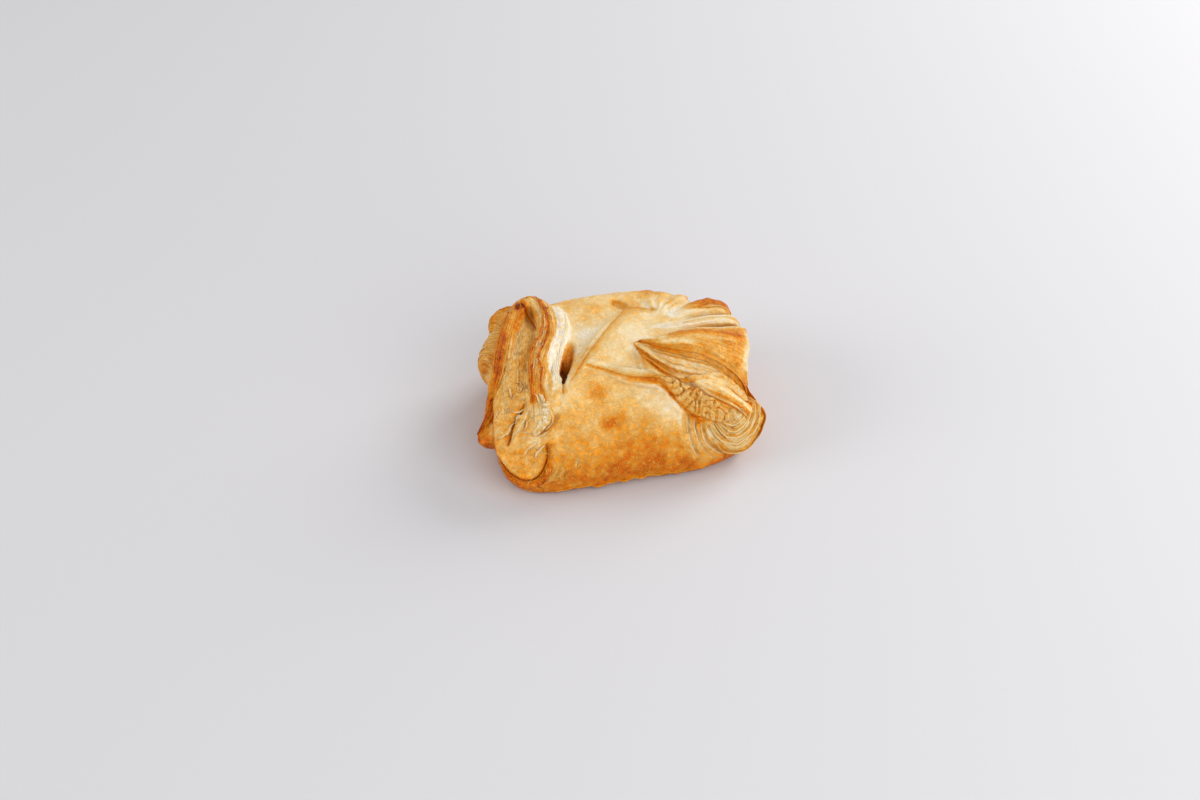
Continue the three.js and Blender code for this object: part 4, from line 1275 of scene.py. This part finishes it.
# Shreds: the fold, how many, where along and across it, length, height, how baked root and lip are, turn.
SHREDS = (
    (RIM, 16, (0.56, 0.92), (-0.7, 0.7), 4.2, 0.5, 0.44, 0.16),
    (RIM, 12, (0.4, 0.56), (-0.7, 0.7), 3.4, 0.4, 0.5, 0.32),
    (RIM, 12, (0.1, 0.4), (-0.6, 0.6), 3.6, 0.3, 0.58, 0.46),
    (HOLLOW, 16, (0.38, 0.66), (-0.8, 0.95), 4.4, 0.7, 0.46, 0.08),
    (HOLLOW, 16, (0.1, 0.38), (-0.6, 0.6), 4.2, 0.4, 0.5, 0.26),
    (HOLLOW, 18, (0.66, 0.94), (-0.8, 0.8), 2.8, 0.3, 0.46, 0.26),
    (EAR_LOW, 12, (0.35, 0.85), (-0.7, 0.7), 3.4, 0.3, 0.42, 0.3),
    (EAR_HIGH, 8, (0.1, 0.85), (-0.6, 0.6), 3, 0.3, 0.52, 0.36),
    (BRAID, 18, (0.6, 0.84), (-0.9, 0.3), 2.6, 0.5, 0.5, 0.22),
    (FRONT_LOW, 6, (0.1, 0.9), (-1, 1), 3, 0.35, 0.5, 0.36, math.pi / 2),
)


def shred_leaves():
    """Shreds of the torn layers: on the rim's two limbs, in the trough, over its torn middle, on the oval,
    the ears, the braid's end and the front's lower left."""
    for seed, (fold, count, *spec) in enumerate(SHREDS, 1):
        yield from shreds(fold, count, seed, *spec)


def rim_leaves():
    """Edges along the rolled rim, the trough and the oval."""
    yield leaf(row(RIM, 0.12, 0.4, 0.55), 1.6, 0.45, 0.56, 0.36)
    yield leaf(row(RIM, 0.08, 0.45, -0.65), 1.8, 0.45, 0.6, 0.52, -1)
    yield leaf(LIMB_LEFT["crest"], 1.8, 0.6, 0.5, 0.62, 1, 0.5, 0.6)
    yield leaf(LIMB_RIGHT["crest"], 1.8, 0.6, 0.46, 0.4, -1, 0.5, 0.5)
    yield leaf(row(RIM, 0.56, 0.92, 0.3, 0.1), 1.4, 0.4, 0.26, 0.16, -1, 0.4, 0.9)
    yield leaf(HOOK["crest"], 1.4, 0.5, 0.5, 0.8, 1, 0.4, 0.5)
    for c, start, end, facing in ((-0.55, 0.12, 0.46, 1), (0.1, 0.2, 0.44, -1), (0.6, 0.26, 0.58, 1)):
        yield leaf(row(HOLLOW, start, end, c, -0.15), 1.6, 0.35, 0.4, 0.26, facing, 0.35, 0.9)
    yield leaf(OVAL_GROOVE["crest"], 1.4, 0.5, 0.5, 0.6, -1, 0.5, 0.25)


def torn_leaves():
    """Torn pale edges: beside the slit, across the trough and in the corner below the rim's end."""
    yield leaf(STRIP_RIGHT[1:9], 2.2, 0.6, 0.06, 0.12, -1, 0.5, 1.2)
    for i, line in enumerate(TORN_LINES):
        yield leaf(line, 2, 0.8, 0.46, 0.12, 1 - 2 * (i % 2), 0.5, 0.8)


def top_leaves():
    """The sheet's edge along the diagonal, the crease's and the ridges of the back corner's pleats."""
    yield leaf(DIAGONAL_LIP["crest"][:9], 3, [0.4, 0.6, 0.7, 0.7, 0.6, 0.3], 0.24, 0.44, 1, 0.7, 0.2)
    height = [0.2, 0.3, 0.5, 0.8, 0.9, 0.6]
    root, lip = [0.16, 0.16, 0.16, 0.18, 0.26, 0.4], [0.3, 0.42, 0.5, 0.54, 0.6, 0.62]
    yield leaf(CREASE_LIP["crest"], 3, height, root, lip, 1, 0.5, 0.3)
    yield leaf(row(PLEAT_BACK, 0.3, 0.85, 0.75), 2.4, 0.35, 0.5, 0.3, 1, 0.5, 0.2)
    yield leaf(row(PLEAT_FRONT, 0.15, 0.85, -0.1), 2, 0.35, 0.14, 0.3, -1, 0.5, 0.2)


def flap_leaves():
    """The flap's crisp back edge and its cut one, the torn layers under it, the lower lip and the slipped
    leaf's."""
    back = between(FLAP_EDGE, CUT_EDGE, 0.03, 0.08, 0.84)
    yield leaf(back, 1.2, 0.3, 0.34, [0.3, 0.18, 0.16, 0.16, 0.2, 0.6], -1, 0.4, 0.2)
    cut = between(FLAP_EDGE, CUT_EDGE, 0.97, 0.03, 0.86)
    yield leaf(cut, 3, 0.9, [0.62, 0.54, 0.46, 0.46, 0.5], [0.7, 0.56, 0.46, 0.42, 0.46], 1, 0.7, 0.4)
    yield leaf(between(FLAP_EDGE, CUT_EDGE, 0.88, 0.14, 0.7), 2, 0.45, 0.36, 0.54, 1, 0.4, 0.6)
    for t, start, end, height, root, lip, ragged in (
        (0.25, 0.14, 0.8, 0.6, 0.3, 0.5, 0.8),
        (0.5, 0.2, 0.6, 0.6, 0.16, 0.3, 1),
        (0.75, 0.05, 0.52, 0.8, 0.3, 0.56, 1),
    ):
        yield leaf(between(CUT_EDGE, CUT_FOOT, t, start, end), 2, height, root, lip, 1, 0.5, ragged)
    yield leaf(between(CUT_EDGE, CUT_FOOT, 1, 0.03, 0.5), 2.2, 1, 0.46, [0.72, 0.54, 0.46, 0.44], 1, 0.7, 0.9)
    yield leaf(LEAF_FAR, 2.2, 0.6, 0.2, 0.4, 1, 0.6, 0.3)


def curl_leaves():
    """The curl's layers nested inside its crisp rim."""
    for k, start, end in ((0.86, 0.1, 1), (0.7, 0.16, 1), (0.55, 0.3, 1), (0.4, 0.36, 0.9)):
        yield leaf(nested(k, start, end), 2.2, 1.2, 0.56, 0.16, -1, 0.8, 0.4)
    yield leaf(nested(1, 0, 0.86), 2.4, 1.3, 0.5, [0.6, 0.5, 0.28, 0.2], 1, 0.7, 0.4)


def wall_leaves():
    """The ears' layers, the wall's pleats, the flakes at the front's lower left and the ragged foot."""
    for c, facing in ((-0.6, -1), (-0.3, -1), (0, 1), (0.3, 1), (0.6, 1)):
        yield leaf(row(EAR_LOW, 0.34, 0.9, c, 0.1), 2, 0.4, 0.4, 0.3, facing, 0.4, 0.5)
    for c in (-0.4, 0.1, 0.5):
        yield leaf(row(EAR_HIGH, 0.08, 0.8, c), 2, 0.5, 0.5, 0.36, 1, 0.4, 0.5)
    for line in WALL_PLEATS:
        yield leaf(line, 2.2, 0.3, 0.3, 0.22, -1, 0.4, 0.3)
    for line in FLAKES:
        yield leaf(line, 3, 0.5, 0.54, 0.32, 1, 0.6, 0.4)
    yield leaf(FOOT_LINE, 1.6, 0.4, 0.66, 0.46, 1, 0.4, 1.2)


LOOKS = ("baked", "layer", "leafy")  # what the material reads at each point


def lay(name, specs, seed, skin_of=leaf_skin_of):
    """One piece of all the leaves in a group, or of other skins, laid on the crust."""
    mesh = bpy.data.objects["crust"].data
    points, normals = points_of(mesh), read(mesh.vertices, "normal", 3, np.float32).astype(float)
    skins, looks = zip(*[skin_of(spec, points, normals, seed + 7 * i) for i, spec in enumerate(specs)])
    return piece_of(name, joined(skins), dict(zip(LOOKS, np.vstack(looks).T)))


def piece_of(name, skin, looks):
    """A finished piece of crust: a smooth mesh with its looks, which stands for the part's solid."""
    mesh = mesh_from(name, *skin)
    for look, values in looks.items():
        mesh.attributes.new(look, "FLOAT", "POINT").data.foreach_set("value", values.astype(np.float32))
    mesh.materials.append(bpy.data.materials.get("baked_dough") or crust_material())
    mesh.polygons.foreach_set("use_smooth", np.ones(len(mesh.polygons), bool))
    piece = bpy.data.objects.new(name, mesh)
    bpy.context.scene.collection.objects.link(piece)
    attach(piece, "root")
    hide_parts("pastry")
    return piece


# ---- Materials ----


class Wiring:
    """A material's node tree, built by name."""

    def __init__(self, name):
        self.material = bpy.data.materials.new(name)
        self.material.use_nodes = True
        self.nodes = self.material.node_tree.nodes
        self.links = self.material.node_tree.links
        self.shader = self.nodes["Principled BSDF"]

    def add(self, kind, values=None, **settings):
        """A node of a kind, with its settings, and its inputs given as numbers or as links from outputs."""
        node = self.nodes.new(kind)
        for key, value in settings.items():
            setattr(node, key, value)
        self.feed(node, values or {})
        return node

    def feed(self, node, values):
        """Gives a node's inputs numbers, or links from other nodes' outputs."""
        for key, value in values.items():
            if isinstance(value, bpy.types.NodeSocket):
                self.links.new(value, node.inputs[key])
            else:
                node.inputs[key].default_value = value

    def math(self, operation, a, b=0.0, c=0.0):
        """The result of a Math node."""
        return self.add("ShaderNodeMath", {0: a, 1: b, 2: c}, operation=operation).outputs[0]

    def attribute(self, name):
        """What the mesh's attribute of that name says."""
        return self.add("ShaderNodeAttribute", attribute_name=name).outputs["Fac"]

    def noise(self, place, scale, detail, roughness, distortion=0.0):
        """Noise from 0 to 1."""
        values = {"Vector": place, "Scale": scale, "Detail": detail, "Roughness": roughness}
        return self.add("ShaderNodeTexNoise", values | {"Distortion": distortion}).outputs["Fac"]

    def ranged(self, value, start, end, low, high):
        """A number carried from one range to another, and held at its ends."""
        values = {"Value": value, "From Min": start, "From Max": end, "To Min": low, "To Max": high}
        return self.add("ShaderNodeMapRange", values).outputs["Result"]


def linear(colour):
    """A colour given as it looks on screen, 0 to 255, as a linear one."""
    c = np.array(colour) / 255
    return tuple(np.where(c <= 0.04045, c / 12.92, ((c + 0.055) / 1.055) ** 2.4)) + (1.0,)


BAKED_COLOURS = {  # from raw to burnt, as they look on screen
    0.0: (248, 239, 221),
    0.18: (245, 218, 164),
    0.36: (242, 187, 98),
    0.55: (234, 147, 24),
    0.72: (212, 102, 4),
    0.86: (162, 64, 6),
    1.0: (88, 34, 6),
}


MOTTLE, CRACKLE, FLAKY = 330.0, 620.0, 900.0  # scales of the material's noise, per metre


def crust_material():
    """Baked dough: a ramp from cream to brown over the baked attribute, mottled, veined with pale crackle,
    lined where layers show, with fine flaky bumps and a little gloss."""
    w = Wiring("baked_dough")
    place = w.add("ShaderNodeTexCoord").outputs["Object"]
    baked, layer, leafy = (w.attribute(name) for name in LOOKS)
    mottle = w.noise(place, MOTTLE, 5.0, 0.62)
    crackle = w.noise(place, CRACKLE, 2.5, 0.5, 1.4)
    veins = w.ranged(w.math("ABSOLUTE", w.math("SUBTRACT", crackle, 0.5)), 0.0, 0.06, 1.0, 0.0)
    drift = w.math("MULTIPLY_ADD", mottle, 3.0, w.math("MULTIPLY", layer, 8.0))
    wave = w.math("MULTIPLY", w.math("SINE", drift), leafy)
    blotch = w.math("MULTIPLY", w.math("SUBTRACT", mottle, 0.5), w.math("MULTIPLY_ADD", baked, 0.6, 0.1))
    smooth = w.math("SUBTRACT", 1.0, leafy)
    vein = w.math("MULTIPLY", w.math("MULTIPLY", veins, smooth), w.math("MULTIPLY", baked, -0.44))
    amount = w.math("MULTIPLY_ADD", baked, 0.1, w.math("ADD", blotch, vein))
    amount = w.math("MULTIPLY_ADD", wave, 0.07, amount)
    ramp = w.add("ShaderNodeValToRGB", {"Fac": w.math("ADD", baked, amount)})
    band = ramp.color_ramp
    band.interpolation = "LINEAR"
    while len(band.elements) < len(BAKED_COLOURS):
        band.elements.new(0.5)
    for element, (at, colour) in zip(band.elements, BAKED_COLOURS.items()):
        element.position = at
        element.color = linear(colour)
    fine = w.noise(place, FLAKY, 5.0, 0.6)
    crisp = w.ranged(baked, 0.15, 0.5, 0.3, 0.8)
    tall = w.math("MULTIPLY_ADD", wave, 0.35, w.math("MULTIPLY_ADD", veins, crisp, fine))
    relief = w.add("ShaderNodeBump", {"Height": tall, "Strength": 0.8, "Distance": 0.0006})
    w.feed(w.shader, {
        "Base Color": ramp.outputs["Color"], "Normal": relief.outputs["Normal"],
        "Roughness": 0.42, "Specular IOR Level": 0.22, "Specular Tint": (1.0, 0.78, 0.45, 1.0),
        "Subsurface Weight": 0.08, "Subsurface Radius": (0.0016, 0.0009, 0.0005), "Subsurface Scale": 1.0,
    })
    return w.material


def plain_material(name, colour, roughness):
    """One colour, for the floor."""
    w = Wiring(name)
    w.feed(w.shader, {"Base Color": tuple(colour) + (1.0,), "Roughness": roughness})
    return w.material


# ---- Settings ----


class PastrySettings(bpy.types.PropertyGroup):
    """How finely the crust is made"""

    cell: FloatProperty(
        name="Cell", description="Distance between the points of the welded crust, in millimetres",
        default=0.58, min=0.3, max=3,
    )
    blend: IntProperty(
        name="Blend", description="How many times the welded folds are smoothed into each other",
        default=3, min=0, max=20,
    )


class StageSettings(bpy.types.PropertyGroup):
    """The floor's colour and the lights' strengths"""

    floor_colour: FloatVectorProperty(
        name="Floor", description="Colour of the floor", subtype="COLOR",
        default=(0.62, 0.62, 0.644), min=0, max=1,
    )
    key: FloatProperty(
        name="Key", description="Strength of the light behind", default=6.4, min=0, unit="POWER",
    )
    front: FloatProperty(
        name="Front", description="Strength of the light in front", default=8.1, min=0, unit="POWER",
    )
    left: FloatProperty(
        name="Left", description="Strength of the light on the left", default=9.0, min=0, unit="POWER",
    )
    fill: FloatProperty(name="Fill", description="Strength of the light around", default=0.5, min=0)


# ---- Operators ----


class PASTRY_OT_crust(bpy.types.Operator):
    """Folds the dough, welds it into one crust and browns it"""

    bl_idname = "pastry.crust"
    bl_label = "Crust"

    def execute(self, context):
        settings = context.scene.pastry
        crust = fold_dough(settings.cell * (1), settings.blend)
        bake(crust)
        looks = {name: getattr(crust, name) for name in LOOKS}
        piece_of("crust", (crust.points, crust.quads, crust.tips), looks)
        return {"FINISHED"}


class PASTRY_OT_leaves(bpy.types.Operator):
    """Lays the thin leaves of dough that stand off the crust"""

    bl_idname = "pastry.leaves"
    bl_label = "Leaves"

    def execute(self, context):
        groups = (rim_leaves, torn_leaves, top_leaves, flap_leaves, curl_leaves, wall_leaves, shred_leaves)
        for i, group in enumerate(groups):
            lay(group.__name__, group(), 100 * (i + 1))
        return {"FINISHED"}


class PASTRY_OT_crumples(bpy.types.Operator):
    """Lays the crumpled dough: the braid, and the torn dough of the left end"""

    bl_idname = "pastry.crumples"
    bl_label = "Crumples"

    def execute(self, context):
        lay("crumples", CRUMPLES, 900, crumple_skin)
        return {"FINISHED"}


LIGHTS = {  # place and size in metres, and colour
    "key": ((0.75, 0.45, 0.5), 0.6, (1.0, 0.98, 0.95)),
    "front": ((0.4, -0.9, 0.5), 1.0, (1.0, 0.99, 0.97)),
    "left": ((-1.3, 0.0, 0.5), 0.8, (1.0, 0.96, 0.92)),
}
LIT = (0, 0, 0.02)  # the point the lights are turned to
FLOOR_REACH, FLOOR_ROUGHNESS = 3.0, 0.6  # half the floor's width in metres, and how rough it is
AIR = (1.0, 1.0, 1.02, 1.0)  # colour of the light around
# The camera: its angles in degrees, its distance and the point it looks at in millimetres, and its lens.
CAMERA = {
    "turned": -12.5, "raised": 39.3, "distance": 1000.0, "aim_right": -7.0, "aim_away": 10.4, "lens": 81.12,
}


def light(name, place, size, colour, watts):
    """An area light at a place, turned towards the pastry."""
    data = bpy.data.lights.new(name, "AREA")
    data.size, data.energy, data.color = size, watts, colour
    lamp = bpy.data.objects.new(name, data)
    bpy.context.scene.collection.objects.link(lamp)
    lamp.location = place
    lamp.rotation_euler = (Vector(LIT) - Vector(place)).to_track_quat("-Z", "Y").to_euler()
    return lamp


class PASTRY_OT_stage(bpy.types.Operator):
    """Lays the floor, hangs the lights and sets the camera"""

    bl_idname = "pastry.stage"
    bl_label = "Stage"

    def execute(self, context):
        settings = context.scene.pastry_stage
        mesh = bpy.data.meshes.new("floor")
        corners = [(x * FLOOR_REACH, y * FLOOR_REACH, 0) for x, y in ((-1, -1), (1, -1), (1, 1), (-1, 1))]
        mesh.from_pydata(corners, [], [(0, 1, 2, 3)])
        floor = bpy.data.objects.new("floor", mesh)
        context.scene.collection.objects.link(floor)
        mesh.materials.append(plain_material("floor", settings.floor_colour, FLOOR_ROUGHNESS))
        for name, look in LIGHTS.items():
            light(name, *look, getattr(settings, name))
        world = bpy.data.worlds.new("studio")
        context.scene.world = world
        world.use_nodes = True
        background = world.node_tree.nodes["Background"].inputs
        background["Color"].default_value = AIR
        background["Strength"].default_value = settings.fill
        context.scene.view_settings.view_transform = "Standard"
        place_camera(context.scene)
        return {"FINISHED"}


def place_camera(scene):
    """The camera looks at a point of the floor from its distance, turned about the upright and raised by
    its angles."""
    a, e = math.radians(CAMERA["turned"]), math.radians(CAMERA["raised"])
    back = np.array([math.sin(a) * math.cos(e), -math.cos(a) * math.cos(e), math.sin(e)])
    right = np.array([math.cos(a), math.sin(a), 0])
    away = np.array([-math.sin(a), math.cos(a), 0])
    up = np.cross(back, right)
    target = CAMERA["aim_right"] * right + CAMERA["aim_away"] * away - DRAWN_CENTRE
    data = bpy.data.cameras.new("camera")
    data.lens, data.sensor_width = CAMERA["lens"], 36
    camera = bpy.data.objects.new("camera", data)
    scene.collection.objects.link(camera)
    turn = Matrix([right, up, back]).transposed().to_4x4()
    camera.matrix_world = Matrix.Translation((target + back * CAMERA["distance"]) * MM) @ turn
    scene.camera = camera


class PASTRY_PT_panel(bpy.types.Panel):
    """Lists the pastry's settings and pieces"""

    bl_label = "Pastry"
    bl_idname = "PASTRY_PT_panel"
    bl_space_type = "VIEW_3D"
    bl_region_type = "UI"
    bl_category = "Pastry"

    def draw(self, context):
        for settings in (context.scene.pastry, context.scene.pastry_stage):
            for name in settings.bl_rna.properties.keys():
                if name not in ("rna_type", "name"):
                    self.layout.prop(settings, name)
        for piece in PIECES:
            self.layout.operator(piece.bl_idname)


PIECES = (PASTRY_OT_crust, PASTRY_OT_leaves, PASTRY_OT_crumples, PASTRY_OT_stage)
CLASSES = (PastrySettings, StageSettings) + PIECES + (PASTRY_PT_panel,)


def register():
    """Adds the classes, and the settings to the scene."""
    for kind in CLASSES:
        bpy.utils.register_class(kind)
    bpy.types.Scene.pastry = PointerProperty(type=PastrySettings)
    bpy.types.Scene.pastry_stage = PointerProperty(type=StageSettings)


def unregister():
    """Takes away what register added."""
    del bpy.types.Scene.pastry
    del bpy.types.Scene.pastry_stage
    for kind in reversed(CLASSES):
        bpy.utils.unregister_class(kind)


def main():
    """Makes every piece and the stage."""
    register()
    bpy.ops.pastry.crust()
    bpy.ops.pastry.leaves()
    bpy.ops.pastry.crumples()
    bpy.ops.pastry.stage()


if __name__ == "__main__":
    main()
